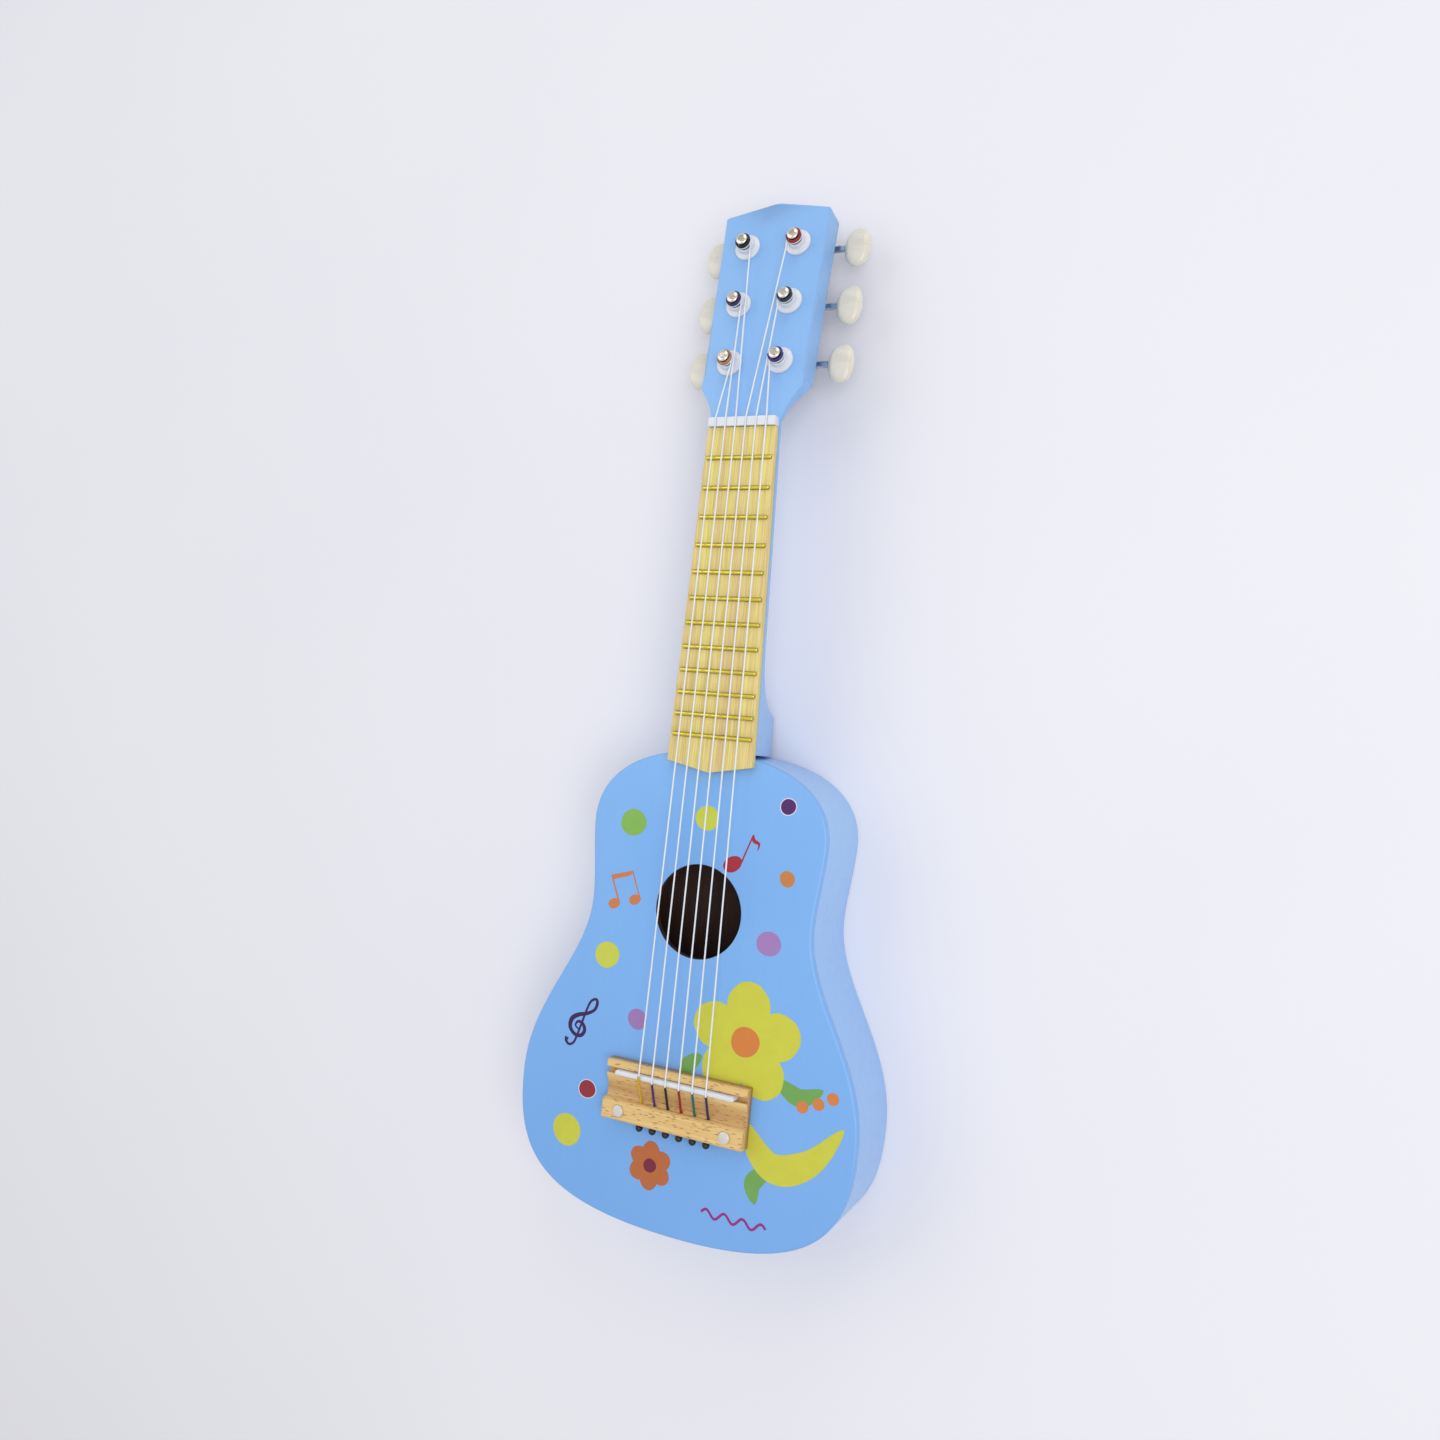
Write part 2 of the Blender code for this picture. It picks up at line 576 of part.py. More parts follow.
def build_neck(paint):
    rings = []
    start = BODY_END_Y + GAP
    cap_end = BODY_END_Y + HEEL_CAP_LENGTH
    heel_end = BODY_END_Y + HEEL_START
    for y in (start, (start + cap_end) / 2, cap_end):
        rings.append(neck_ring(y, board_half_width(y) + NECK_EDGE_MARGIN, BODY_DEPTH,
                               BODY_DEPTH - HEEL_CAP_HEIGHT, 1.0))
    for share in (0.93, 0.84, 0.72, 0.58, 0.42, 0.24):
        y = heel_end - (heel_end - cap_end) * share
        rise = share ** 2.5
        depth = NECK_DEPTH_AT_HEEL + (BODY_DEPTH - HEEL_CAP_HEIGHT - NECK_DEPTH_AT_HEEL) * rise
        rings.append(neck_ring(y, board_half_width(y) + NECK_EDGE_MARGIN, BODY_DEPTH,
                               depth, share ** 1.4))
    shaft_end = NUT_END_Y
    for share in (0.0, 0.33, 0.66, 0.9, 1.0):
        y = heel_end + (shaft_end - heel_end) * share
        depth = NECK_DEPTH_AT_HEEL + (NECK_DEPTH_AT_NUT - NECK_DEPTH_AT_HEEL) * share
        width = board_half_width(min(y, NUT_FACE_Y)) + NECK_EDGE_MARGIN
        rings.append(neck_ring(y, width, BODY_DEPTH, depth, 0.0))
    outline = head_outline()
    for share in (0.25, 0.45, 0.65, 0.85, 1.0, 1.15):
        rings.append(root_ring(outline, share))
    neck = finish("neck", rings_mesh(rings), paint)

    flat = [(x, y) for x, y in outline if y > HEAD_ROOT_LENGTH]
    root_width = half_width_at(outline, HEAD_ROOT_LENGTH)
    flat = [(root_width, HEAD_ROOT_LENGTH)] + flat + [(-root_width, HEAD_ROOT_LENGTH)]
    slab = prism_mesh(flat, -HEAD_THICKNESS, 0.0)
    rim = [edge for edge in slab.edges
           if abs(edge.verts[0].co.z - edge.verts[1].co.z) < 1e-7
           and max(v.co.y for v in edge.verts) > HEAD_ROOT_LENGTH + 1e-6]
    bmesh.ops.bevel(slab, geom=rim, offset=HEAD_EDGE_ROUND, segments=2, profile=0.5,
                    affect="EDGES", clamp_overlap=True)
    head = finish("head_slab", slab, None, placement=head_frame(0.0, 0.0, 0.0))
    carve(neck, [head], "UNION")

    holes = []
    for x, along in post_places():
        bore = solid_lathe_mesh([(BUSHING_SLEEVE_RADIUS + GAP, -HEAD_THICKNESS - 0.003),
                                 (BUSHING_SLEEVE_RADIUS + GAP, 0.003)], 20)
        holes.append(finish("post_bore", bore, None, placement=head_frame(x, along, 0.0)))
    carve(neck, holes)
    smooth(neck, 32)


def post_places():
    places = []
    for side in (-1, 1):
        for k in range(TUNERS_PER_SIDE):
            places.append((side * POST_HALF_SPACING, FIRST_POST_AT + k * POST_PITCH))
    return places


# ---------------------------------------------------------------- fingerboard, frets, nut
def build_fingerboard(board_wood, fret_metal, white):
    start = NUT_FACE_Y - GAP
    end = fret_y(FRET_COUNT) - BOARD_PAST_LAST_FRET
    corner = board_half_width(end)
    outline = [(board_half_width(start), start), (-board_half_width(start), start),
               (-corner, end), (0.0, end - BOARD_END_POINT), (corner, end)]
    board = finish("fingerboard", prism_mesh(outline, BODY_DEPTH + GAP, BOARD_TOP), board_wood)
    slots = []
    for number in range(1, FRET_COUNT + 1):
        y = fret_y(number)
        half = FRET_WIDTH / 2 + GAP
        slot = box_mesh((-0.04, y - half, BOARD_TOP - FRET_SLOT_DEPTH),
                        (0.04, y + half, BOARD_TOP + 0.002))
        slots.append(finish("slot_%d" % number, slot, None))
    carve(board, slots)
    for number in range(1, FRET_COUNT + 1):
        build_fret(number, fret_metal)
    build_nut(white)


def build_fret(number, material):
    y = fret_y(number)
    half = board_half_width(y) - FRET_END_INSET
    low = BOARD_TOP - FRET_SEAT
    rings = []
    for x, scale in ((-half, 0.55), (-half + 0.0009, 1.0), (half - 0.0009, 1.0), (half, 0.55)):
        ring = [(x, y - FRET_WIDTH / 2, low), (x, y + FRET_WIDTH / 2, low)]
        for k in range(5):
            a = math.radians(10 + 40 * k)
            ring.append((x, y + FRET_WIDTH / 2 * math.cos(a),
                         BOARD_TOP + FRET_CROWN * scale * math.sin(a)))
        rings.append(ring)
    finish("fret_%02d" % number, rings_mesh(rings), material, 50)


def string_offsets(pitch):
    return [(k - (STRING_COUNT - 1) / 2) * pitch for k in range(STRING_COUNT)]


def build_nut(white):
    half = BOARD_NUT_HALF_WIDTH
    low, high = BODY_DEPTH + GAP, NUT_TOP
    profile = [(-half, low), (half, low), (half, high - 0.0006), (half - 0.0006, high)]
    notch = STRING_RADIUS + GAP
    for x in reversed(string_offsets(NUT_STRING_PITCH)):
        profile += [(x + notch, high), (x + notch * 0.6, high - NUT_NOTCH_DEPTH),
                    (x - notch * 0.6, high - NUT_NOTCH_DEPTH), (x - notch, high)]
    profile += [(-half + 0.0006, high), (-half, high - 0.0006)]
    rings = [[(x, NUT_FACE_Y, z) for x, z in profile], [(x, NUT_END_Y, z) for x, z in profile]]
    finish("nut", rings_mesh(rings), white)


# ---------------------------------------------------------------- bridge and saddle
def build_bridge(wood, white):
    valley = BRIDGE_VALLEY_HEIGHT
    tie = TIE_BLOCK_DEPTH
    slot = SADDLE_Y - BRIDGE_REAR_Y
    slot_rear, slot_front = slot - SLOT_HALF_WIDTH, slot + SLOT_HALF_WIDTH
    ridge = SADDLE_RIDGE_HEIGHT
    slot_low = ridge - SADDLE_SLOT_DEPTH
    span = slot_rear - tie
    profile = [
        (0.0, 0.0), (0.0, TIE_BLOCK_HEIGHT - 0.0008), (0.0008, TIE_BLOCK_HEIGHT),
        (tie - 0.0008, TIE_BLOCK_HEIGHT), (tie, TIE_BLOCK_HEIGHT - 0.0008),
        (tie + 0.03 * span, valley + 0.0012), (tie + 0.14 * span, valley + 0.0002),
        (tie + 0.35 * span, valley), (tie + 0.60 * span, valley + 0.0008),
        (tie + 0.85 * span, ridge - 0.0012), (slot_rear - 0.0004, ridge - 0.0003),
        (slot_rear, ridge - 0.0007), (slot_rear, slot_low), (slot_front, slot_low),
        (slot_front, ridge - 0.0003), (slot_front + 0.0003, ridge),
        (BRIDGE_DEPTH - 0.0008, ridge), (BRIDGE_DEPTH, ridge - 0.0008), (BRIDGE_DEPTH, 0.0),
    ]
    rings = []
    for x in (-BRIDGE_HALF_WIDTH, BRIDGE_HALF_WIDTH):
        rings.append([(x, BRIDGE_REAR_Y + y, BRIDGE_BASE + h) for y, h in profile])
    bridge = finish("bridge", rings_mesh(rings), wood)

    cutters = []
    for x in string_offsets(SADDLE_STRING_PITCH):
        bore = solid_lathe_mesh([(STRING_HOLE_RADIUS, -0.004),
                                 (STRING_HOLE_RADIUS, TIE_BLOCK_DEPTH + 0.002)], 8)
        spin = Matrix.Rotation(-math.pi / 2, 4, "X")
        place = Matrix.Translation((x, BRIDGE_REAR_Y, BODY_DEPTH + STRING_HOLE_HEIGHT))
        cutters.append(finish("string_bore", bore, None, placement=place @ spin))
    cap_y = BRIDGE_REAR_Y + TIE_BLOCK_DEPTH * 0.5
    top = BRIDGE_BASE + TIE_BLOCK_HEIGHT
    for side in (-1, 1):
        bore = solid_lathe_mesh([(CAP_STEM_RADIUS + GAP, -CAP_STEM_LENGTH - GAP),
                                 (CAP_STEM_RADIUS + GAP, 0.002)], 12)
        place = Matrix.Translation((side * CAP_HALF_SPACING, cap_y, top))
        cutters.append(finish("cap_bore", bore, None, placement=place))
    carve(bridge, cutters)

    for side, label in ((-1, "bass"), (1, "treble")):
        profile = [(CAP_STEM_RADIUS, -CAP_STEM_LENGTH + GAP), (CAP_STEM_RADIUS, GAP),
                   (CAP_RADIUS, GAP), (CAP_RADIUS, GAP + CAP_HEIGHT * 0.5),
                   (CAP_RADIUS * 0.6, GAP + CAP_HEIGHT)]
        cap = finish("bridge_cap_" + label, solid_lathe_mesh(profile, 16), white, 50)
        cap.location = (side * CAP_HALF_SPACING, cap_y, top)

    build_saddle(white)


def build_saddle(white):
    half_thick = SADDLE_THICKNESS / 2
    low = BRIDGE_BASE + SADDLE_RIDGE_HEIGHT - SADDLE_SLOT_DEPTH + GAP
    high = SADDLE_STRING_HEIGHT - STRING_RADIUS - GAP
    outline = []
    for k in range(7):
        a = math.radians(-90 + 30 * k)
        outline.append((SADDLE_HALF_WIDTH - half_thick + half_thick * math.cos(a),
                        SADDLE_Y + half_thick * math.sin(a)))
    outline += [(-x, y) for x, y in reversed(outline)]
    inset = 0.0006
    crown = []
    for x, y in outline:
        sign = 1 if x > 0 else -1
        crown.append((x - sign * inset, SADDLE_Y + (y - SADDLE_Y) * (1 - inset / half_thick)))
    rings = [[(x, y, low) for x, y in outline], [(x, y, high - inset) for x, y in outline],
             [(x, y, high) for x, y in crown]]
    finish("saddle", rings_mesh(rings), white, 40)


# ---------------------------------------------------------------- strings
def tube_rings(points, radii, sides):
    """Round sections along a path, kept from twisting by carrying one direction along."""
    rings = []
    across = Vector((1.0, 0.0, 0.0))
    for k, point in enumerate(points):
        ahead = points[min(k + 1, len(points) - 1)] - points[max(k - 1, 0)]
        ahead.normalize()
        across = across - ahead * across.dot(ahead)
        across.normalize()
        other = ahead.cross(across)
        ring = []
        for j in range(sides):
            a = 2 * math.pi * j / sides
            ring.append(tuple(point + (across * math.cos(a) + other * math.sin(a)) * radii[k]))
        rings.append(ring)
    return rings


def head_point(x, along, out):
    return HEAD_ORIGIN + Vector((x, 0.0, 0.0)) + HEAD_ALONG * along + HEAD_OUT * out


def string_path(number, saddle_x, nut_x):
    """Route of one string from its ball behind the bridge to the last turn on its post."""
    side = -1 if number < TUNERS_PER_SIDE else 1
    order = number if side < 0 else STRING_COUNT - 1 - number
    post_x = side * POST_HALF_SPACING
    post_along = FIRST_POST_AT + order * POST_PITCH
    hole_z = BODY_DEPTH + STRING_HOLE_HEIGHT
    rear = BRIDGE_REAR_Y
    ball = STRING_BALL_RADIUS
    points, radii = [], []
    centre = rear - ball - GAP
    for k in range(5):
        a = math.radians(-80 + 35 * k)
        points.append(Vector((saddle_x, centre + ball * math.sin(a), hole_z)))
        radii.append(max(ball * math.cos(a), STRING_RADIUS))
    points.append(Vector((saddle_x, centre + ball * 0.97, hole_z)))
    points.append(Vector((saddle_x, rear + TIE_BLOCK_DEPTH - 0.0002, hole_z)))
    points.append(Vector((saddle_x, rear + TIE_BLOCK_DEPTH + 0.0006, hole_z + 0.0003)))
    over = SADDLE_STRING_HEIGHT
    points.append(Vector((saddle_x, SADDLE_Y - SADDLE_THICKNESS / 2 + 0.0002, over - 0.0002)))
    points.append(Vector((saddle_x, SADDLE_Y, over)))
    points.append(Vector((nut_x, NUT_FACE_Y, NUT_STRING_HEIGHT)))
    points.append(Vector((nut_x, NUT_END_Y, NUT_STRING_HEIGHT)))
    radii += [STRING_RADIUS] * 7
    steps = COIL_TURNS * COIL_STEPS_PER_TURN
    for k in range(steps + 1):
        turn = 2 * math.pi * k / COIL_STEPS_PER_TURN
        x = post_x - side * COIL_RADIUS * math.cos(turn)
        along = post_along + COIL_RADIUS * math.sin(turn)
        out = COIL_START + COIL_PITCH * k / COIL_STEPS_PER_TURN
        points.append(head_point(x, along, out))
        radii.append(STRING_RADIUS)
    return points, radii


def build_strings(material):
    saddle_x = string_offsets(SADDLE_STRING_PITCH)
    nut_x = string_offsets(NUT_STRING_PITCH)
    for number in range(STRING_COUNT):
        points, radii = string_path(number, saddle_x[number], nut_x[number])
        mesh = rings_mesh(tube_rings(points, radii, 5))
        finish("string_%d" % (STRING_COUNT - number), mesh, material, 60)


# ---------------------------------------------------------------- machine heads
def gear_ring(out, twist):
    """Outline of the post gear at one height, with one tooth pointing along the headstock."""
    ring = []
    for tooth in range(GEAR_TEETH):
        middle = math.pi / 2 + twist + 2 * math.pi * tooth / GEAR_TEETH
        root = TOOTH_ROOT_WIDTH / 2 / GEAR_ROOT_RADIUS
        tip = TOOTH_TIP_WIDTH / 2 / GEAR_OUTER_RADIUS
        for angle, radius in ((-root, GEAR_ROOT_RADIUS), (-tip, GEAR_OUTER_RADIUS),
                              (tip, GEAR_OUTER_RADIUS), (root, GEAR_ROOT_RADIUS)):
            ring.append((radius * math.cos(middle + angle),
                         radius * math.sin(middle + angle), out))
    return ring


def build_post(name, x, along, material):
    """String post with the toothed wheel that the worm drives fixed to its lower end."""
    low = AXLE_DEPTH - GEAR_THICKNESS / 2
    profile = [(POST_RADIUS * 0.8, low - 0.0008), (POST_RADIUS * 0.8, low + 0.001),
               (POST_RADIUS, low + 0.0012), (POST_RADIUS, POST_HEIGHT - 0.0012),
               (POST_RADIUS * 0.86, POST_HEIGHT - 0.0005), (POST_RADIUS * 0.5, POST_HEIGHT)]
    post = finish(name, solid_lathe_mesh(profile, 14), material,
                  placement=head_frame(x, along, 0.0))
    lead_slope = WORM_LEAD / (2 * math.pi * WORM_PITCH_RADIUS)
    twist = lead_slope * GEAR_THICKNESS / 2 / GEAR_PITCH_RADIUS
    rings = [gear_ring(low, -twist), gear_ring(low + GEAR_THICKNESS, twist)]
    wheel = finish("post_wheel", rings_mesh(rings), None, placement=head_frame(x, along, 0.0))
    carve(post, [wheel], "UNION")
    smooth(post, 35)


def thread_rings(phase):
    """Sections of the worm's ridge, which runs once round the shaft for each tooth."""
    rings = []
    steps_per_turn = 8
    turns = 2 * WORM_HALF_LENGTH / WORM_LEAD
    steps = int(round(turns * steps_per_turn))
    for k in range(steps + 1):
        x = -WORM_HALF_LENGTH + 2 * WORM_HALF_LENGTH * k / steps
        angle = 2 * math.pi * x / WORM_LEAD + phase
        fade = min(1.0, (k + 1) / 4, (steps + 1 - k) / 4)
        outer = WORM_ROOT_RADIUS + (WORM_OUTER_RADIUS - WORM_ROOT_RADIUS) * fade
        inner = WORM_ROOT_RADIUS - 0.0003
        ring = []
        for dx, radius in ((-TOOTH_ROOT_WIDTH / 2, inner), (-TOOTH_TIP_WIDTH / 2, outer),
                           (TOOTH_TIP_WIDTH / 2, outer), (TOOTH_ROOT_WIDTH / 2, inner)):
            ring.append((x + dx, radius * math.cos(angle), radius * math.sin(angle)))
        rings.append(ring)
    return rings


def build_worm(name, side, x, along, material):
    """Worm shaft; its local X axis points out of the headstock's side."""
    inner_end = -LUG_SPACING / 2 - LUG_THICKNESS - 0.0007
    outer_lug = LUG_SPACING / 2 + LUG_THICKNESS
    button_start = BUTTON_CENTRE - BUTTON_LENGTH / 2 - POST_HALF_SPACING
    collar = outer_lug + RUNNING_GAP
    neck = WORM_HALF_LENGTH + 0.0009
    profile = [
        (SHAFT_RADIUS, inner_end), (SHAFT_RADIUS, -neck), (WORM_ROOT_RADIUS, -neck),
        (WORM_ROOT_RADIUS, neck), (SHAFT_RADIUS, neck), (SHAFT_RADIUS, collar),
        (SHAFT_COLLAR_RADIUS, collar), (SHAFT_COLLAR_RADIUS, collar + 0.0012),
        (SHAFT_RADIUS, collar + 0.0016), (SHAFT_RADIUS, button_start - GAP),
        (SHAFT_TIP_RADIUS, button_start - GAP),
        (SHAFT_TIP_RADIUS, button_start + BUTTON_BORE_DEPTH - GAP),
    ]
    placement = head_frame(x, along + AXLE_SPACING, AXLE_DEPTH)
    if side < 0:
        placement = placement @ Matrix.Rotation(math.pi, 4, "Z")
    shaft = finish(name, solid_lathe_mesh(profile, 10, "X"), material, placement=placement)
    phase = math.pi if side < 0 else 0.0
    ridge = finish("worm_ridge", rings_mesh(thread_rings(phase)), None, placement=placement)
    carve(shaft, [ridge], "UNION")
    smooth(shaft, 35)


def build_button(name, side, x, along, material):
    """Oval finger button pushed onto the end of a worm shaft."""
    start = BUTTON_CENTRE - BUTTON_LENGTH / 2 - POST_HALF_SPACING
    rings = []
    for share, size in ((0.0, 0.38), (0.09, 0.64), (0.25, 0.88), (0.45, 1.0),
                        (0.65, 0.975), (0.83, 0.80), (0.94, 0.55), (1.0, 0.24)):
        ring = []
        for k in range(14):
            a = 2 * math.pi * k / 14
            ring.append((start + BUTTON_LENGTH * share,
                         BUTTON_WIDTH / 2 * size * math.cos(a),
                         BUTTON_THICKNESS / 2 * min(1.0, size * 1.25) * math.sin(a)))
        rings.append(ring)
    placement = head_frame(x, along + AXLE_SPACING, AXLE_DEPTH)
    if side < 0:
        placement = placement @ Matrix.Rotation(math.pi, 4, "Z")
    button = finish(name, rings_mesh(rings), material, placement=placement)
    profile = [(SHAFT_TIP_RADIUS + GAP, start - 0.002),
               (SHAFT_TIP_RADIUS + GAP, start + BUTTON_BORE_DEPTH)]
    bore = finish("button_bore", solid_lathe_mesh(profile, 8, "X"), None, placement=placement)
    carve(button, [bore])
    smooth(button, 40)


def build_bushing(name, x, along, material):
    inner = POST_RADIUS + RUNNING_GAP
    top = BUSHING_COLLAR_TOP
    flange = GAP + BUSHING_FLANGE_THICKNESS
    profile = [
        (inner, -HEAD_THICKNESS), (inner, top), (BUSHING_COLLAR_RADIUS - 0.0003, top),
        (BUSHING_COLLAR_RADIUS, flange + 0.0002), (BUSHING_FLANGE_RADIUS - 0.0003, flange),
        (BUSHING_FLANGE_RADIUS, GAP), (BUSHING_SLEEVE_RADIUS, GAP),
        (BUSHING_SLEEVE_RADIUS, -HEAD_THICKNESS),
    ]
    finish(name, lathe_mesh(profile, 18), material, 40, head_frame(x, along, 0.0))


def build_plate(name, side, material):
    """Metal strip on the back of the headstock that carries one side's three tuners."""
    low = FIRST_POST_AT - PLATE_END_MARGIN
    high = FIRST_POST_AT + (TUNERS_PER_SIDE - 1) * POST_PITCH + PLATE_END_MARGIN + AXLE_SPACING
    corner = 0.002
    outline = []
    for cx, cy, first in ((PLATE_OUTER - corner, low + corner, -90),
                          (PLATE_OUTER - corner, high - corner, 0),
                          (PLATE_INNER + corner, high - corner, 90),
                          (PLATE_INNER + corner, low + corner, 180)):
        for k in range(3):
            a = math.radians(first + 45 * k)
            outline.append((side * (cx + corner * math.cos(a)), cy + corner * math.sin(a)))
    plate = finish(name, prism_mesh(outline, PLATE_REAR, PLATE_FRONT), material,
                   placement=head_frame(0.0, 0.0, 0.0))
    added, removed = [], []
    for k in range(TUNERS_PER_SIDE):
        along = FIRST_POST_AT + k * POST_PITCH
        axle = along + AXLE_SPACING
        for offset in (-LUG_SPACING / 2 - LUG_THICKNESS, LUG_SPACING / 2):
            x0 = POST_HALF_SPACING + offset
            x1 = x0 + LUG_THICKNESS
            lug = box_mesh((min(side * x0, side * x1), axle - LUG_HALF_WIDTH,
                            AXLE_DEPTH - LUG_HALF_WIDTH),
                           (max(side * x0, side * x1), axle + LUG_HALF_WIDTH,
                            PLATE_REAR + PLATE_THICKNESS / 2))
            added.append(finish("lug", lug, None, placement=head_frame(0.0, 0.0, 0.0)))
        x0 = POST_HALF_SPACING - LUG_SPACING / 2 - LUG_THICKNESS - 0.003
        x1 = POST_HALF_SPACING + LUG_SPACING / 2 + LUG_THICKNESS + 0.003
        bore = solid_lathe_mesh([(SHAFT_RADIUS + RUNNING_GAP, x0), (SHAFT_RADIUS + RUNNING_GAP, x1)],
                                10, "X")
        turn = Matrix.Rotation(math.pi, 4, "Z") if side < 0 else Matrix.Identity(4)
        removed.append(finish("axle_bore", bore, None,
                              placement=head_frame(0.0, axle, AXLE_DEPTH) @ turn))
        hole = solid_lathe_mesh([(POST_RADIUS + RUNNING_GAP, PLATE_REAR - 0.002),
                                 (POST_RADIUS + RUNNING_GAP, PLATE_FRONT + 0.002)], 12)
        removed.append(finish("post_hole", hole, None,
                              placement=head_frame(side * POST_HALF_SPACING, along, 0.0)))
    for k in range(TUNERS_PER_SIDE - 1):
        middle = FIRST_POST_AT + AXLE_SPACING / 2 + (k + 0.5) * POST_PITCH
        head = solid_lathe_mesh([(RIVET_RADIUS, PLATE_REAR + PLATE_THICKNESS / 2),
                                 (RIVET_RADIUS, PLATE_REAR - RIVET_HEIGHT * 0.4),
                                 (RIVET_RADIUS * 0.6, PLATE_REAR - RIVET_HEIGHT)], 8)
        x = side * (PLATE_INNER + PLATE_OUTER) / 2
        added.append(finish("rivet", head, None, placement=head_frame(x, middle, 0.0)))
    carve(plate, added, "UNION")
    carve(plate, removed)
    smooth(plate, 35)


def build_machine_heads(white, pearl, bright, dark):
    for side, label in ((-1, "bass"), (1, "treble")):
        build_plate("tuner_plate_" + label, side, bright)
        for k in range(TUNERS_PER_SIDE):
            x = side * POST_HALF_SPACING
            along = FIRST_POST_AT + k * POST_PITCH
            tag = "%s_%d" % (label, k + 1)
            build_bushing("bushing_" + tag, x, along, white)
            build_post("post_" + tag, x, along, bright)
            build_worm("worm_shaft_" + tag, side, x, along, dark)
            build_button("button_" + tag, side, x, along, pearl)


def build_guitar():
    clear_scene()
    paint = make_material("blue_paint", PAINT_BLUE, 0.42, 0.0)
    side_paint = make_material("pale_blue_paint", SIDE_BLUE, 0.42, 0.0)
    bare = make_material("bare_wood", BARE_WOOD, 0.65, 0.0)
    board_wood = make_material("board_wood", BOARD_WOOD, 0.5, 0.0)
    bridge_wood = make_material("bridge_wood", BRIDGE_WOOD, 0.55, 0.0)
    fret_metal = make_material("fret_brass", FRET_METAL, 0.3, 1.0)
    white = make_material("white_plastic", WHITE_PLASTIC, 0.3, 0.0)
    pearl = make_material("pearl_plastic", PEARL_PLASTIC, 0.25, 0.0)
    bright = make_material("bright_steel", BRIGHT_STEEL, 0.25, 1.0)
    dark = make_material("dark_steel", DARK_STEEL, 0.3, 1.0)
    nylon = make_material("white_nylon", STRING_WHITE, 0.35, 0.0)

    build_body(paint, side_paint, bare)
    build_neck(side_paint)
    build_fingerboard(board_wood, fret_metal, white)
    build_bridge(bridge_wood, white)
    build_strings(nylon)
    build_machine_heads(white, pearl, bright, dark)


build_guitar()
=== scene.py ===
"""Small six-string toy guitar lying on its back.

X runs across the guitar with the treble side at +X, Y runs along the neck towards the
headstock and Z points out of the soundboard. Sizes are in metres.
"""

import math

import bmesh
import bpy
from mathutils import Matrix, Vector


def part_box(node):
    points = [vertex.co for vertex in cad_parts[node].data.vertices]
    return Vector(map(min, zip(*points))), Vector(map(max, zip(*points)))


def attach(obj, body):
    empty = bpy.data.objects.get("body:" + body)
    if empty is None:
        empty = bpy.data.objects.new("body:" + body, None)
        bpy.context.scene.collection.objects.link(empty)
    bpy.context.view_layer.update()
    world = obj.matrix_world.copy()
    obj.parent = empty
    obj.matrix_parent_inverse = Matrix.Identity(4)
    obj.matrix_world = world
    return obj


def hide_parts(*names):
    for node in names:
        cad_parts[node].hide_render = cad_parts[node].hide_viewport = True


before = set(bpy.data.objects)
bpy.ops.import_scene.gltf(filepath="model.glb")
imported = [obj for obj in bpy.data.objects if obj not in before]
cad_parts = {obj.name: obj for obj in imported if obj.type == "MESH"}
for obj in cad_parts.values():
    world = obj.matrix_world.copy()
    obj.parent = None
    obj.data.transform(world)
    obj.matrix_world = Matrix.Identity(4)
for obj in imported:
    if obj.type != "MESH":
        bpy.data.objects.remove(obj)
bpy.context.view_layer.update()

# ---------------------------------------------------------------- sizes shared with the frame
GAP = 0.0003
BOARD_LOW, BOARD_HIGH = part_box("soundboard")
TAIL_Y, BODY_END_Y = BOARD_LOW.y, BOARD_HIGH.y
TOP = BOARD_HIGH.z
NUT_LOW, NUT_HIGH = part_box("nut")
NUT_FACE_Y, NUT_END_Y = NUT_LOW.y, NUT_HIGH.y
BRIDGE_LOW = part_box("bridge")[0]
SADDLE_LOW, SADDLE_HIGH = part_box("saddle")
FINGERBOARD_TOP, FRET_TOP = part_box("fingerboard")[1].z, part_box("fret_01")[1].z
SADDLE_Y = (SADDLE_LOW.y + SADDLE_HIGH.y) / 2

LOWER_BOUT, WAIST, UPPER_BOUT = BOARD_HIGH.x, 0.0623, 0.0658
LOWER_BOUT_Y = TAIL_Y + 0.0655
WAIST_Y = LOWER_BOUT_Y + 0.0990
UPPER_BOUT_Y = WAIST_Y + 0.0413
SOUND_HOLE = Vector((0.0, WAIST_Y + 0.0005, TOP))
SOUND_HOLE_RADIUS = 0.024
TOP_THICKNESS = 0.004
BACK_THICKNESS = 0.005
SIDE_THICKNESS = 0.009
PLATE_RIM = 0.0013              # rounding of the soundboard's and the back's outer edge
HOLE_RIM = 0.0007

BOARD_NUT_HALF_WIDTH = 0.019
BOARD_FLARE = 0.02875
NECK_PROUD = 0.0002             # neck past the fingerboard's side
HEEL_FOOT_LENGTH, HEEL_LENGTH = 0.021, 0.068
NECK_DEPTH_AT_HEEL, NECK_DEPTH_AT_NUT = 0.0175, 0.0155
HEEL_FOOT_ABOVE_FLOOR = 0.004

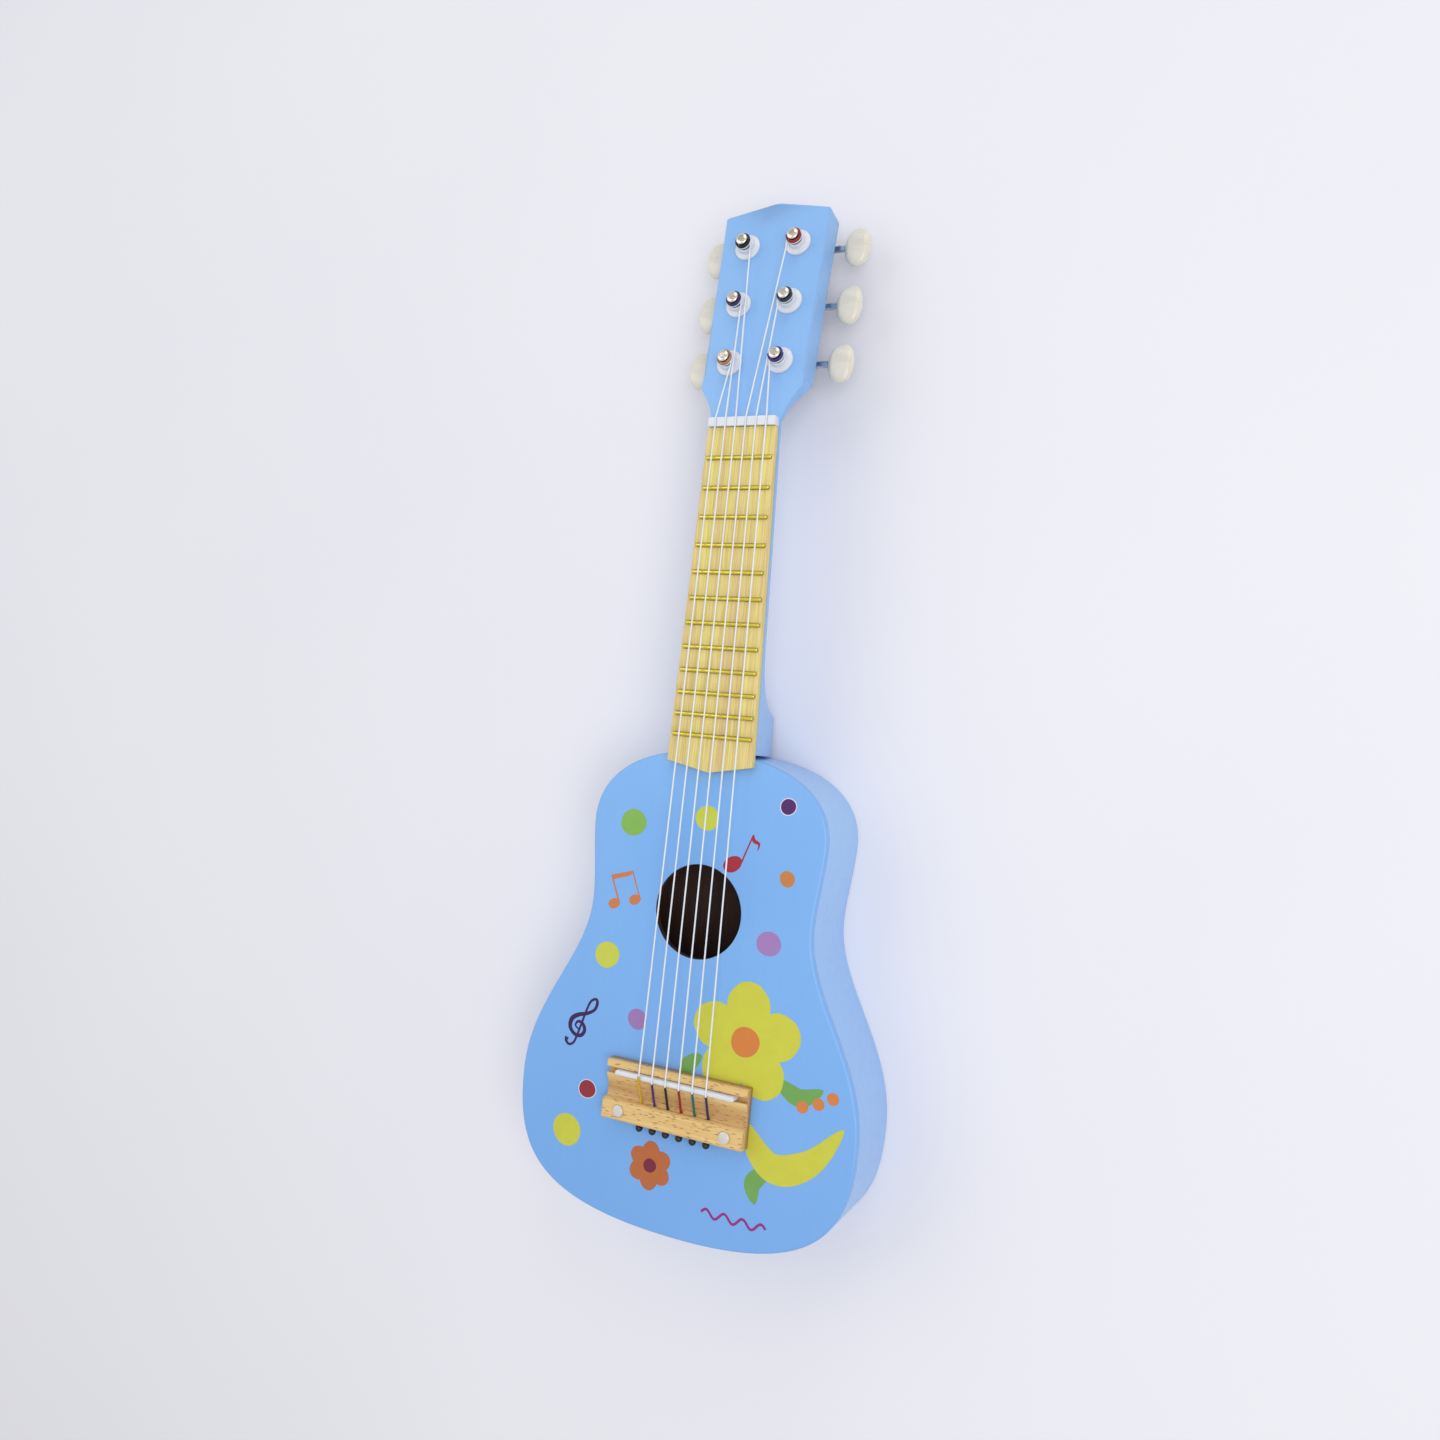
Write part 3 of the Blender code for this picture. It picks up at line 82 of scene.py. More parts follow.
HEAD_TILT = math.radians(7.3)
HEAD_LENGTH = 0.1218
HEAD_THICKNESS = 0.0145
HEAD_RIM = 0.0012
HEAD_NUT_HALF_WIDTH, HEAD_HALF_WIDTH = 0.0201, 0.0284
HEAD_CORNER_BEFORE_PEAK = 0.0048
HEAD_SHOULDER_AT, HEAD_ROOT_LENGTH = 0.0180, 0.0235
ROOT_INSET, ROOT_SQUARENESS = 0.00003, 0.88
HEAD_ALONG = Vector((0.0, math.cos(HEAD_TILT), -math.sin(HEAD_TILT)))
HEAD_OUT = Vector((0.0, math.sin(HEAD_TILT), math.cos(HEAD_TILT)))
HEAD_ORIGIN = Vector((0.0, NUT_END_Y, TOP - 0.0003))

STRING_RADIUS = 0.00042
SADDLE_STRING_PITCH, NUT_STRING_PITCH = 0.0076, 0.0057
TAIL_SILK_SWELL, POST_SILK_SWELL = 1.45, 1.12
STRING_HOLE_Z = TOP + 0.0043
TIE_DEPTH = 0.0102
NUT_STRING_Z = NUT_HIGH.z + 0.00022
SADDLE_STRING_Z = TOP + 0.0104
BALL_RADIUS = 0.0019

POST_X, FIRST_POST, POST_PITCH = 0.0144, 0.0318, 0.0329
POST_RADIUS, POST_HEIGHT = 0.0030, 0.0100
POST_BORE_RADIUS, POST_TIP_HEIGHT = 0.0049, 0.0009
SLEEVE_RADIUS, COLLAR_RADIUS, FLANGE_RADIUS = 0.0046, 0.0045, 0.0071
COLLAR_HEIGHT, FLANGE_HEIGHT, FLANGE_CLEARANCE = 0.0042, 0.0014, 0.0001
AXLE_OFFSET, AXLE_DEPTH = 0.0064, -0.0191
COIL_RADIUS, COIL_START, COIL_PITCH = 0.00372, 0.0052, 0.00096
COIL_TURNS, COIL_STEPS = 3, 28
BUTTON_START, BUTTON_LENGTH = 0.01915, 0.0137
BUTTON_WIDTH, BUTTON_THICKNESS = 0.0213, 0.0070
SIDES = ((-1, "bass"), (1, "treble"))
TUNERS_PER_SIDE = 3

FRET_COUNT, FRET_FINENESS = 12, 14
FRET_NARROWING = 0.94           # rod's width over the crown's
FRET_LIFT = 0.00001             # rod's flat underside above the board
FLOOR_RADIUS, FLOOR_THICKNESS = 3.2, 0.02
CAMERA_LENS = 28.814
CAMERA_PLACE = (0.25136, -0.02164, 0.58443)
CAMERA_TURN = (0.0708016, 0.4317628, 0.1070831)


# ---------------------------------------------------------------- node material helpers
def srgb(r, g, b):
    """Linear colour of an 8-bit display colour."""
    out = []
    for value in (r, g, b):
        c = value / 255
        out.append(c / 12.92 if c <= 0.04045 else ((c + 0.055) / 1.055) ** 2.4)
    return (*out, 1.0)


class Graph:
    """A Principled material with short calls for its texture nodes."""

    def __init__(self, name, roughness, metallic=0.0):
        self.material = bpy.data.materials.new(name)
        self.material.use_nodes = True
        self.tree = self.material.node_tree
        self.shader = self.tree.nodes["Principled BSDF"]
        self.set("Roughness", roughness)
        self.set("Metallic", metallic)
        self.place = self.tree.nodes.new("ShaderNodeTexCoord").outputs["Object"]

    def set(self, socket, value):
        self.shader.inputs[socket].default_value = value

    def link(self, output, node, socket):
        self.tree.links.new(output, node.inputs[socket])

    def stretched(self, scale):
        node = self.tree.nodes.new("ShaderNodeMapping")
        node.inputs["Scale"].default_value = scale
        self.link(self.place, node, "Vector")
        return node.outputs["Vector"]

    def noise(self, scale, detail=4.0, rough=0.5, warp=0.0):
        """Noise with a different size along each axis; output from about 0.3 to 0.7."""
        node = self.tree.nodes.new("ShaderNodeTexNoise")
        node.inputs["Scale"].default_value = 1.0
        node.inputs["Detail"].default_value = detail
        node.inputs["Roughness"].default_value = rough
        node.inputs["Distortion"].default_value = warp
        self.link(self.stretched(scale), node, "Vector")
        return node.outputs["Fac"]

    def cells(self, scale):
        node = self.tree.nodes.new("ShaderNodeTexVoronoi")
        node.inputs["Scale"].default_value = 1.0
        self.link(self.stretched(scale), node, "Vector")
        return node.outputs["Distance"]

    def spread(self, value, low, high, to_low=0.0, to_high=1.0):
        node = self.tree.nodes.new("ShaderNodeMapRange")
        node.inputs["From Min"].default_value = low
        node.inputs["From Max"].default_value = high
        node.inputs["To Min"].default_value = to_low
        node.inputs["To Max"].default_value = to_high
        self.link(value, node, "Value")
        return node.outputs["Result"]

    def axis(self, letter):
        node = self.tree.nodes.new("ShaderNodeSeparateXYZ")
        self.link(self.place, node, "Vector")
        return node.outputs[letter]

    def blend(self, factor, first, second):
        """Colour mix; first and second are colours or outputs."""
        node = self.tree.nodes.new("ShaderNodeMix")
        node.data_type = "RGBA"
        self.tree.links.new(factor, node.inputs[0])
        for socket, value in ((6, first), (7, second)):
            if isinstance(value, tuple):
                node.inputs[socket].default_value = value
            else:
                self.tree.links.new(value, node.inputs[socket])
        return node.outputs[2]

    def colour(self, output):
        self.link(output, self.shader, "Base Color")

    def rough(self, value, low, high):
        self.link(self.spread(value, 0.3, 0.7, low, high), self.shader, "Roughness")

    def bump(self, value, depth):
        node = self.tree.nodes.new("ShaderNodeBump")
        node.inputs["Strength"].default_value = 1.0
        node.inputs["Distance"].default_value = depth
        self.link(value, node, "Height")
        self.link(node.outputs["Normal"], self.shader, "Normal")


def paint(name, near_tail, near_head, low_y, high_y):
    """Satin spray paint over wood: faint grain telegraphs through, tone drifts along Y."""
    g = Graph(name, 0.42)
    drift = g.spread(g.axis("Y"), low_y, high_y)
    base = g.blend(drift, srgb(*near_tail), srgb(*near_head))
    cloud = g.spread(g.noise((14, 9, 14), 3), 0.3, 0.7, 0.0, 0.10)
    base = g.blend(cloud, base, srgb(*[min(255, c + 26) for c in near_head]))
    grain = g.noise((900, 26, 900), 5, 0.6)
    darker = srgb(*[c * 0.86 for c in near_tail])
    base = g.blend(g.spread(grain, 0.35, 0.7, 0.0, 0.07), base, darker)
    g.colour(base)
    g.rough(g.noise((260, 260, 260), 3), 0.36, 0.50)
    g.bump(grain, 0.00003)
    g.set("Coat Weight", 0.25)
    g.set("Coat Roughness", 0.22)
    return g.material


def streaked_wood(name, pale, mid, dark, along, roughness, fleck=None, hollow=None):
    """Wood whose grain runs along X or Y; along is 0 or 1.

    hollow gives two heights and the darker tone painted between them as shade in a routed hollow.
    """
    g = Graph(name, roughness)

    def scale(fine, long):
        sizes = [fine, fine, fine]
        sizes[along] = long
        return tuple(sizes)

    broad = g.spread(g.noise(scale(230, 7), 4, 0.55, 0.3), 0.34, 0.66)
    fine = g.noise(scale(1500, 30), 5, 0.65)
    base = g.blend(broad, srgb(*pale), srgb(*mid))
    base = g.blend(g.spread(fine, 0.42, 0.72, 0.0, 0.75), base, srgb(*dark))
    if fleck is not None:
        dashes = g.cells(scale(1100, 190))
        base = g.blend(g.spread(dashes, 0.10, 0.32, 0.95, 0.0), base, srgb(*fleck))
    if hollow is not None:
        low_z, high_z, tone = hollow
        # painted shade: the colour darkens towards the bottom of the hollow
        base = g.blend(g.spread(g.axis("Z"), low_z, high_z, 0.72, 0.0), base, srgb(*tone))
    g.colour(base)
    g.rough(fine, roughness - 0.08, roughness + 0.10)
    g.bump(fine, 0.00006)
    return g.material


def ink(name, rgb):
    """Screen-printed ink: an even film with slight density drift and a fine tooth."""
    g = Graph(name, 0.40)
    tone = g.spread(g.noise((170, 170, 170), 4), 0.35, 0.68, 0.0, 0.22)
    g.colour(g.blend(tone, srgb(*rgb), srgb(*[c * 0.90 for c in rgb])))
    tooth = g.noise((2600, 2600, 2600), 2)
    g.rough(tooth, 0.36, 0.46)
    g.bump(tooth, 0.00001)
    return g.material


def moulded(name, rgb, shade, roughness, translucency=0.0, veins=0.0):
    """Moulded plastic with flow marks; veins gives the cloudy swirl of pearl plastic."""
    g = Graph(name, roughness)
    flow = g.noise((70, 110, 70), 3, 0.5, 0.6)
    base = g.blend(g.spread(flow, 0.36, 0.66, 0.0, 0.35 + veins), srgb(*rgb), srgb(*shade))
    g.colour(base)
    skin = g.noise((1300, 1300, 1300), 3)
    g.rough(skin, roughness - 0.04, roughness + 0.07)
    g.bump(skin, 0.000015)
    if translucency:
        g.set("Subsurface Weight", translucency)
        g.set("Subsurface Radius", (0.004, 0.0038, 0.003))
        g.set("Subsurface Scale", 0.6)
        g.set("Coat Weight", 0.35)
        g.set("Coat Roughness", 0.12)
    return g.material


def metal(name, rgb, wear_and_reflection, roughness, brushed):
    """Plated metal with fine polishing lines and darker patches, which are wear on most parts and
    painted dark reflections on the worm shafts; brushed gives line sizes.
    """
    g = Graph(name, roughness, 1.0)
    patch = g.noise((240, 240, 240), 4)
    lines = g.noise(brushed, 4, 0.6)
    g.colour(g.blend(g.spread(patch, 0.38, 0.70, 0.0, 0.55), srgb(*rgb), srgb(*wear_and_reflection)))
    g.rough(lines, roughness - 0.06, roughness + 0.14)
    g.bump(lines, 0.00002)
    return g.material


def fret_metal(name, low_z, high_z):
    """Brass rod with painted light: a painted highlight along its crown and painted shade where it
    meets the board.
    """
    g = Graph(name, 0.28, 0.85)
    lines = g.noise((60, 3000, 900), 4, 0.6)
    tone = g.blend(g.spread(lines, 0.36, 0.68, 0.0, 0.6), srgb(255, 238, 96), srgb(226, 196, 66))
    # painted shade and highlight: near-black brown towards the board's surface, the bright brass
    # tone towards the crown
    g.colour(g.blend(g.spread(g.axis("Z"), low_z, high_z), srgb(64, 48, 12), tone))
    g.rough(lines, 0.22, 0.40)
    g.bump(lines, 0.00002)
    return g.material


def thread(name, rgb):
    """Coloured silk wrapping: fine turns across the string."""
    g = Graph(name, 0.55)
    turns = g.noise((900, 5200, 5200), 2)
    g.colour(g.blend(g.spread(turns, 0.35, 0.65), srgb(*rgb), srgb(*[c * 0.62 for c in rgb])))
    g.bump(turns, 0.00008)
    g.set("Sheen Weight", 0.05)
    return g.material


# ---------------------------------------------------------------- mesh helpers
def finish(name, mesh, material, body="guitar", stands_for=(), angle=35,
           place=None):
    """Turn a bmesh into a piece that rides on a body; with body None it only becomes an object."""
    bmesh.ops.recalc_face_normals(mesh, faces=mesh.faces)
    data = bpy.data.meshes.new(name)
    mesh.to_mesh(data)
    mesh.free()
    piece = bpy.data.objects.new(name, data)
    bpy.context.scene.collection.objects.link(piece)
    if place is not None:
        piece.matrix_world = place
    if material is not None:
        data.materials.append(material)
    shade(piece, angle)
    if body is not None:
        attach(piece, body)
        if stands_for:
            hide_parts(*stands_for)
    return piece


def shade(piece, angle):
    piece.data.shade_smooth()
    piece.data.set_sharp_from_angle(angle=math.radians(angle))


def mesh_from(verts, faces):
    mesh = bmesh.new()
    made = [mesh.verts.new(v) for v in verts]
    for face in faces:
        mesh.faces.new([made[i] for i in face])
    return mesh


def rings_mesh(rings, closed_path=False):
    """Skin equal closed rings of points into one closed surface."""
    count = len(rings[0])
    verts = [point for ring in rings for point in ring]
    faces = []
    last = len(rings) if closed_path else len(rings) - 1
    for i in range(last):
        a = i * count
        b = ((i + 1) % len(rings)) * count
        for j in range(count):
            k = (j + 1) % count
            faces.append((a + j, a + k, b + k, b + j))
    if not closed_path:
        start = (len(rings) - 1) * count
        faces.append(tuple(reversed(range(count))))
        faces.append(tuple(range(start, start + count)))
    return mesh_from(verts, faces)


def prism_mesh(outline, low, high):
    return rings_mesh([[(x, y, low) for x, y in outline], [(x, y, high) for x, y in outline]])


def lathe_mesh(profile, segments, along_x=False, hollow=False):
    """Spin (radius, height) points about Z or X."""
    turns = []
    for k in range(segments):
        a = 2 * math.pi * k / segments
        turns.append((math.cos(a), math.sin(a)))
    rings = []
    for r, h in profile:
        rings.append([(h, r * c, r * s) if along_x else (r * c, r * s, h) for c, s in turns])
    if hollow:
        return rings_mesh(rings, closed_path=True)
    return rings_mesh(rings)


def carve(piece, cutters, operation="DIFFERENCE"):
    for number, cutter in enumerate(cutters):
        step = piece.modifiers.new("step_%d" % number, "BOOLEAN")
        step.operation = operation
        step.solver = "EXACT"
        step.object = cutter
    bake(piece)
    for cutter in cutters:
        bpy.data.objects.remove(cutter, do_unlink=True)


def bake(piece):
    bpy.context.view_layer.update()
    graph = bpy.context.evaluated_depsgraph_get()
    result = bpy.data.meshes.new_from_object(piece.evaluated_get(graph))
    piece.modifiers.clear()
    piece.data = result


def soften(name, node, material, width):
    """Visible copy of one of the guitar body's CAD nodes with its sharp edges eased."""
    piece = bpy.data.objects.new(name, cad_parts[node].data.copy())
    bpy.context.scene.collection.objects.link(piece)
    weld = piece.modifiers.new("weld", "WELD")
    weld.merge_threshold = 1e-6
    ease = piece.modifiers.new("ease", "BEVEL")
    ease.width = width
    ease.segments = 3
    ease.limit_method = "ANGLE"
    ease.angle_limit = math.radians(40)
    ease.use_clamp_overlap = True
    bake(piece)
    piece.data.materials.clear()
    piece.data.materials.append(material)
    shade(piece, 38)
    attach(piece, "guitar")
    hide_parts(node)
    return piece


def curve_points(start, reach_start, reach_end, end, steps):
    points = []
    for k in range(steps):
        t = k / steps
        u = 1 - t
        points.append(tuple(
            u ** 3 * start[i] + 3 * u * u * t * reach_start[i]
            + 3 * u * t * t * reach_end[i] + t ** 3 * end[i] for i in range(len(start))))
    return points


def flowing(points, steps, closed=False):
    """Smooth line through points of any number of coordinates."""
    count = len(points)
    out = []
    last = count if closed else count - 1
    for i in range(last):
        if closed:
            p = [points[(i + d) % count] for d in (-1, 0, 1, 2)]
        else:
            p = [points[min(max(i + d, 0), count - 1)] for d in (-1, 0, 1, 2)]
        for k in range(steps):
            t = k / steps
            out.append(tuple(
                0.5 * (2 * b + (c - a) * t + (2 * a - 5 * b + 4 * c - d) * t * t
                       + (3 * b - a - 3 * c + d) * t ** 3)
                for a, b, c, d in zip(*p)))
    if not closed:
        out.append(tuple(points[-1]))
    return out


def offset_outline(outline, distance):
    moved = []
    count = len(outline)
    for k in range(count):
        before, after = outline[k - 1], outline[(k + 1) % count]
        dx, dy = after[0] - before[0], after[1] - before[1]
        length = math.hypot(dx, dy)
        moved.append((outline[k][0] - dy / length * distance,
                      outline[k][1] + dx / length * distance))
    return moved


def body_outline(steps):
    corners = [
        ((0.0, TAIL_Y), (0.85 * LOWER_BOUT, TAIL_Y),
         (LOWER_BOUT, LOWER_BOUT_Y - 0.04061), (LOWER_BOUT, LOWER_BOUT_Y)),
        ((LOWER_BOUT, LOWER_BOUT_Y), (LOWER_BOUT, LOWER_BOUT_Y + 0.0403),
         (WAIST, WAIST_Y - 0.03287), (WAIST, WAIST_Y)),
        ((WAIST, WAIST_Y), (WAIST, WAIST_Y + 0.01198),
         (UPPER_BOUT, UPPER_BOUT_Y - 0.01198), (UPPER_BOUT, UPPER_BOUT_Y)),
        ((UPPER_BOUT, UPPER_BOUT_Y), (UPPER_BOUT, UPPER_BOUT_Y + 0.02554),
         (0.62 * UPPER_BOUT, BODY_END_Y), (0.0, BODY_END_Y)),
    ]
    half = []
    for corner in corners:
        half += curve_points(*corner, steps)
    half.append((0.0, BODY_END_Y))
    return half + [(-x, y) for x, y in reversed(half[1:-1])]


def head_frame(x, along, out):
    place = HEAD_ORIGIN + Vector((x, 0.0, 0.0)) + HEAD_ALONG * along + HEAD_OUT * out
    turn = Matrix((Vector((1.0, 0.0, 0.0)), HEAD_ALONG, HEAD_OUT)).transposed()
    return Matrix.Translation(place) @ turn.to_4x4()


def tube_mesh(points, radii, sides):
    """Round tube along a path, with one carried direction so that it doesn't twist."""
    rings = []
    across = Vector((1.0, 0.0, 0.0))
    for k, point in enumerate(points):
        ahead = points[min(k + 1, len(points) - 1)] - points[max(k - 1, 0)]
        ahead.normalize()
        across = across - ahead * across.dot(ahead)
        across.normalize()
        other = ahead.cross(across)
        ring = []
        for j in range(sides):
            a = 2 * math.pi * j / sides
            ring.append(tuple(point + (across * math.cos(a) + other * math.sin(a)) * radii[k]))
        rings.append(ring)
    return rings_mesh(rings)


# ---------------------------------------------------------------- finishes
FRONT_BLUE = paint("front_blue", (118, 171, 234), (124, 179, 240), TAIL_Y, BODY_END_Y)
# painted light: a lighter copy of the front's blue for the sides and back, lighter still towards
# the upper bout as a painted highlight
LIT_SIDE_BLUE = paint("lit_side_blue", (146, 188, 243), (156, 198, 246), TAIL_Y, BODY_END_Y)
NECK_BLUE = paint("neck_blue", (150, 190, 240), (136, 185, 240), BODY_END_Y, NUT_END_Y)
# brown of bare wood, made much darker as painted shade inside the body, on the sound hole's wall,
# the blocks and the braces
SHADED_INNER_WOOD = streaked_wood("shaded_inner_wood", (76, 48, 38), (54, 34, 27), (30, 19, 18), 1, 0.7)
BOARD_WOOD = streaked_wood("board_wood", (240, 226, 136), (228, 202, 142), (188, 158, 84),
                           1, 0.5)
# the last argument paints shade into the bridge's valley between ridge and tie block
BRIDGE_WOOD = streaked_wood("bridge_wood", (240, 208, 144), (228, 190, 122), (200, 156, 92),
                            0, 0.52, (132, 82, 42), (TOP + 0.0020, TOP + 0.0058, (150, 92, 52)))
# brass with a painted highlight on the crown and painted shade at the foot
FRET_BRASS = fret_metal("fret_brass", FINGERBOARD_TOP + 0.0002, FRET_TOP - 0.0003)
WHITE = moulded("white_plastic", (226, 229, 236), (206, 210, 220), 0.30, 0.10)
PEARL = moulded("pearl_plastic", (234, 228, 214), (208, 202, 186), 0.26, 0.45, 0.12)
STEEL = metal("bright_steel", (214, 210, 200), (150, 146, 140), 0.22, (300, 300, 4200))
# painted reflection: the very dark patch colour stands in for the chrome's dark reflections
SHAFT_STEEL = metal("shaft_steel", (196, 200, 210), (66, 68, 78), 0.17, (3400, 500, 500))
GOLD_TIP = metal("gold_tip", (252, 246, 230), (228, 214, 184), 0.24, (900, 900, 900))
CAP_PLASTIC = moulded("cap_plastic", (218, 214, 209), (198, 193, 187), 0.34, 0.2)
NYLON = moulded("white_nylon", (236, 240, 246), (214, 219, 228), 0.34)
BLACK = moulded("black_ball", (24, 24, 28), (44, 44, 48), 0.38)


# ---------------------------------------------------------------- body
def plate(name, node, outline, low, high, face, rim, material):
    """Body plate with one rounded rim; face is +1 where the rounded side looks up."""
    rings = []
    for step in range(7):
        a = math.radians(15 * step)
        rings.append((rim * (1 - math.cos(a)), rim * (1 - math.sin(a))))
    levels = [(0.0, low if face > 0 else high)]
    for inset, below in rings:
        levels.append((inset, high - below if face > 0 else low + below))
    loops = []
    for inset, z in levels:
        loops.append([(x, y, z) for x, y in offset_outline(outline, inset)])
    return finish(name, rings_mesh(loops), material, "guitar", (node,))


def build_body():
    outline = body_outline(36)
    front = plate("front_skin", "soundboard", outline, TOP - TOP_THICKNESS, TOP, 1, PLATE_RIM,
                  FRONT_BLUE)
    r, e, past = SOUND_HOLE_RADIUS, HOLE_RIM, 0.002
    profile = [(r, TOP - TOP_THICKNESS - past), (r, TOP - e)]
    profile += [(r + e * (1 - math.cos(a)), TOP - e + e * math.sin(a))
                for a in (math.radians(30), math.radians(60), math.radians(90))]
    profile.append((r + e, TOP + past))
    hole = finish("hole_cutter", lathe_mesh(profile, 96), SHADED_INNER_WOOD, None)
    hole.location = (0.0, SOUND_HOLE.y, 0.0)
    carve(front, [hole])
    front.data.materials.clear()
    front.data.materials.append(FRONT_BLUE)
    front.data.materials.append(SHADED_INNER_WOOD)
    for face in front.data.polygons:
        inside = face.center.z < TOP - TOP_THICKNESS + 1e-5
        wall = (face.center.xy - SOUND_HOLE.xy).length < SOUND_HOLE_RADIUS + 0.0001
        face.material_index = 1 if inside or wall else 0
    shade(front, 35)

    back = plate("back_skin", "back_plate", outline, 0.0, BACK_THICKNESS, -1, PLATE_RIM,
                 LIT_SIDE_BLUE)
    back.data.materials.append(SHADED_INNER_WOOD)
    for face in back.data.polygons:
        face.material_index = 1 if face.center.z > BACK_THICKNESS - 1e-5 else 0

    low, high = BACK_THICKNESS + GAP * 0.1, TOP - TOP_THICKNESS - GAP * 0.1
    inner = offset_outline(outline, SIDE_THICKNESS)
    loops = [[(x, y, low) for x, y in outline], [(x, y, high) for x, y in outline],
             [(x, y, high) for x, y in inner], [(x, y, low) for x, y in inner]]
    wall = finish("side_skin", rings_mesh(loops, closed_path=True), LIT_SIDE_BLUE, "guitar",
                  ("body_sides",))
    wall.data.materials.append(SHADED_INNER_WOOD)
    count = len(outline)
    for face in wall.data.polygons:
        face.material_index = 1 if face.index >= count else 0


# ---------------------------------------------------------------- neck
def board_half_width(y):
    return BOARD_NUT_HALF_WIDTH + BOARD_FLARE * (NUT_FACE_Y - y)


def neck_ring(y, half_width, top, depth, heel):
    """Section of the neck; heel goes from 0, a half ellipse, to 1, a flat-sided foot."""
    ring = []
    steps = 18
    for k in range(steps + 1):
        a = math.pi / 2 * k / steps
        foot = 0.0 if k == steps else 1 - 0.45 * math.sin(a) ** 1.3
        x = half_width * ((1 - heel) * math.cos(a) + heel * foot)
        ring.append((x, y, top - depth * math.sin(a)))
    return ring + [(-x, y, z) for x, y, z in reversed(ring[:-1])]


def head_outline():
    """Headstock outline in the plane of its face, from the nut to the peak and back."""
    top = HEAD_LENGTH - HEAD_CORNER_BEFORE_PEAK
    shoulder, wide = HEAD_SHOULDER_AT, HEAD_HALF_WIDTH
    half = curve_points((HEAD_NUT_HALF_WIDTH, 0.0), (0.0207, shoulder * 0.36),
                        (0.0235, shoulder * 0.60), (wide, shoulder), 16)
    half += curve_points((wide, shoulder), (wide + 0.00015, shoulder + 0.0004),
                         (wide + 0.0001, shoulder + 0.0007),
                         (wide + 0.0001, shoulder + 0.0012), 3)
    half += curve_points((0.0296, top - 0.0012), (0.02963, top - 0.0004),
                         (0.0291, top + 0.0001), (0.0284, top + 0.0002), 4)
    half += [(0.0030, HEAD_LENGTH - 0.0003), (0.0012, HEAD_LENGTH)]
    return half + [(-x, y) for x, y in reversed(half)]


def half_width_at(outline, y):
    """Half of an outline's width at a distance along it."""
    best = 0.0
    for (x0, y0), (x1, y1) in zip(outline, outline[1:]):
        if (y0 - y) * (y1 - y) <= 0 and y0 != y1:
            best = max(best, x0 + (x1 - x0) * (y - y0) / (y1 - y0))
    return best


def root_ring(outline, share):
    """Section of the headstock's root, from nearly round at the nut to flat sided."""
    along = HEAD_ROOT_LENGTH * share
    inset = ROOT_INSET
    half_width = half_width_at(outline, along) - inset
    square = 1 - ROOT_SQUARENESS * min(share, 1.0) ** 1.8
    ring = []
    steps = 18
    for k in range(steps + 1):
        a = math.pi / 2 * k / steps
        x = half_width * max(math.cos(a), 0.0) ** square if k < steps else 0.0
        ring.append((x, -inset - (HEAD_THICKNESS - 2 * inset) * math.sin(a) ** square))
    ring += [(-x, out) for x, out in reversed(ring[:-1])]
    return [tuple(HEAD_ORIGIN + Vector((x, 0.0, 0.0)) + HEAD_ALONG * along + HEAD_OUT * out)
            for x, out in ring]


def build_neck():
    foot_end = BODY_END_Y + HEEL_FOOT_LENGTH
    heel_end = BODY_END_Y + HEEL_LENGTH
    deep, shallow = NECK_DEPTH_AT_HEEL, NECK_DEPTH_AT_NUT
    foot = TOP - HEEL_FOOT_ABOVE_FLOOR
    rings = []
    for y in (BODY_END_Y + GAP, (BODY_END_Y + foot_end) / 2, foot_end):
        rings.append(neck_ring(y, board_half_width(y) + NECK_PROUD, TOP, foot, 1.0))
    steps = 16
    for k in range(1, steps):
        share = 1 - k / steps
        y = heel_end - (heel_end - foot_end) * share
        depth = deep + (foot - deep) * share ** 2.5
        rings.append(neck_ring(y, board_half_width(y) + NECK_PROUD, TOP, depth, share ** 1.4))
    for k in range(9):
        share = k / 8
        y = heel_end + (NUT_END_Y - heel_end) * share
        width = board_half_width(min(y, NUT_FACE_Y)) + NECK_PROUD
        rings.append(neck_ring(y, width, TOP, deep + (shallow - deep) * share, 0.0))
    outline = head_outline()
    for k in range(20):
        rings.append(root_ring(outline, 0.10 + 0.98 * k / 19))
    neck = finish("neck_skin", rings_mesh(rings), NECK_BLUE, None)

    root_width = half_width_at(outline, HEAD_ROOT_LENGTH)
    flat = [(root_width, HEAD_ROOT_LENGTH)]
    flat += [(x, y) for x, y in outline if y > HEAD_ROOT_LENGTH + 1e-5]
    flat.append((-root_width, HEAD_ROOT_LENGTH))
    slab = prism_mesh(flat, -HEAD_THICKNESS, 0.0)
    rim = [edge for edge in slab.edges
           if abs(edge.verts[0].co.z - edge.verts[1].co.z) < 1e-7
           and max(v.co.y for v in edge.verts) > HEAD_ROOT_LENGTH + 1e-6]
    bmesh.ops.bevel(slab, geom=rim, offset=HEAD_RIM, segments=4, profile=0.5, affect="EDGES",
                    clamp_overlap=True)
    head = finish("head_slab", slab, NECK_BLUE, None, place=head_frame(0.0, 0.0, 0.0))
    carve(neck, [head], "UNION")
    bores = []
    r, past = POST_BORE_RADIUS, 0.003
    for side, _ in SIDES:
        for k in range(TUNERS_PER_SIDE):
            bore = lathe_mesh([(r, -HEAD_THICKNESS - past), (r, past)], 32)
            at_post = head_frame(side * POST_X, FIRST_POST + k * POST_PITCH, 0.0)
            bores.append(finish("bore", bore, NECK_BLUE, None, place=at_post))
    carve(neck, bores)
    neck.data.materials.clear()
    neck.data.materials.append(NECK_BLUE)
    shade(neck, 32)
    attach(neck, "guitar")
    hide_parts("neck")


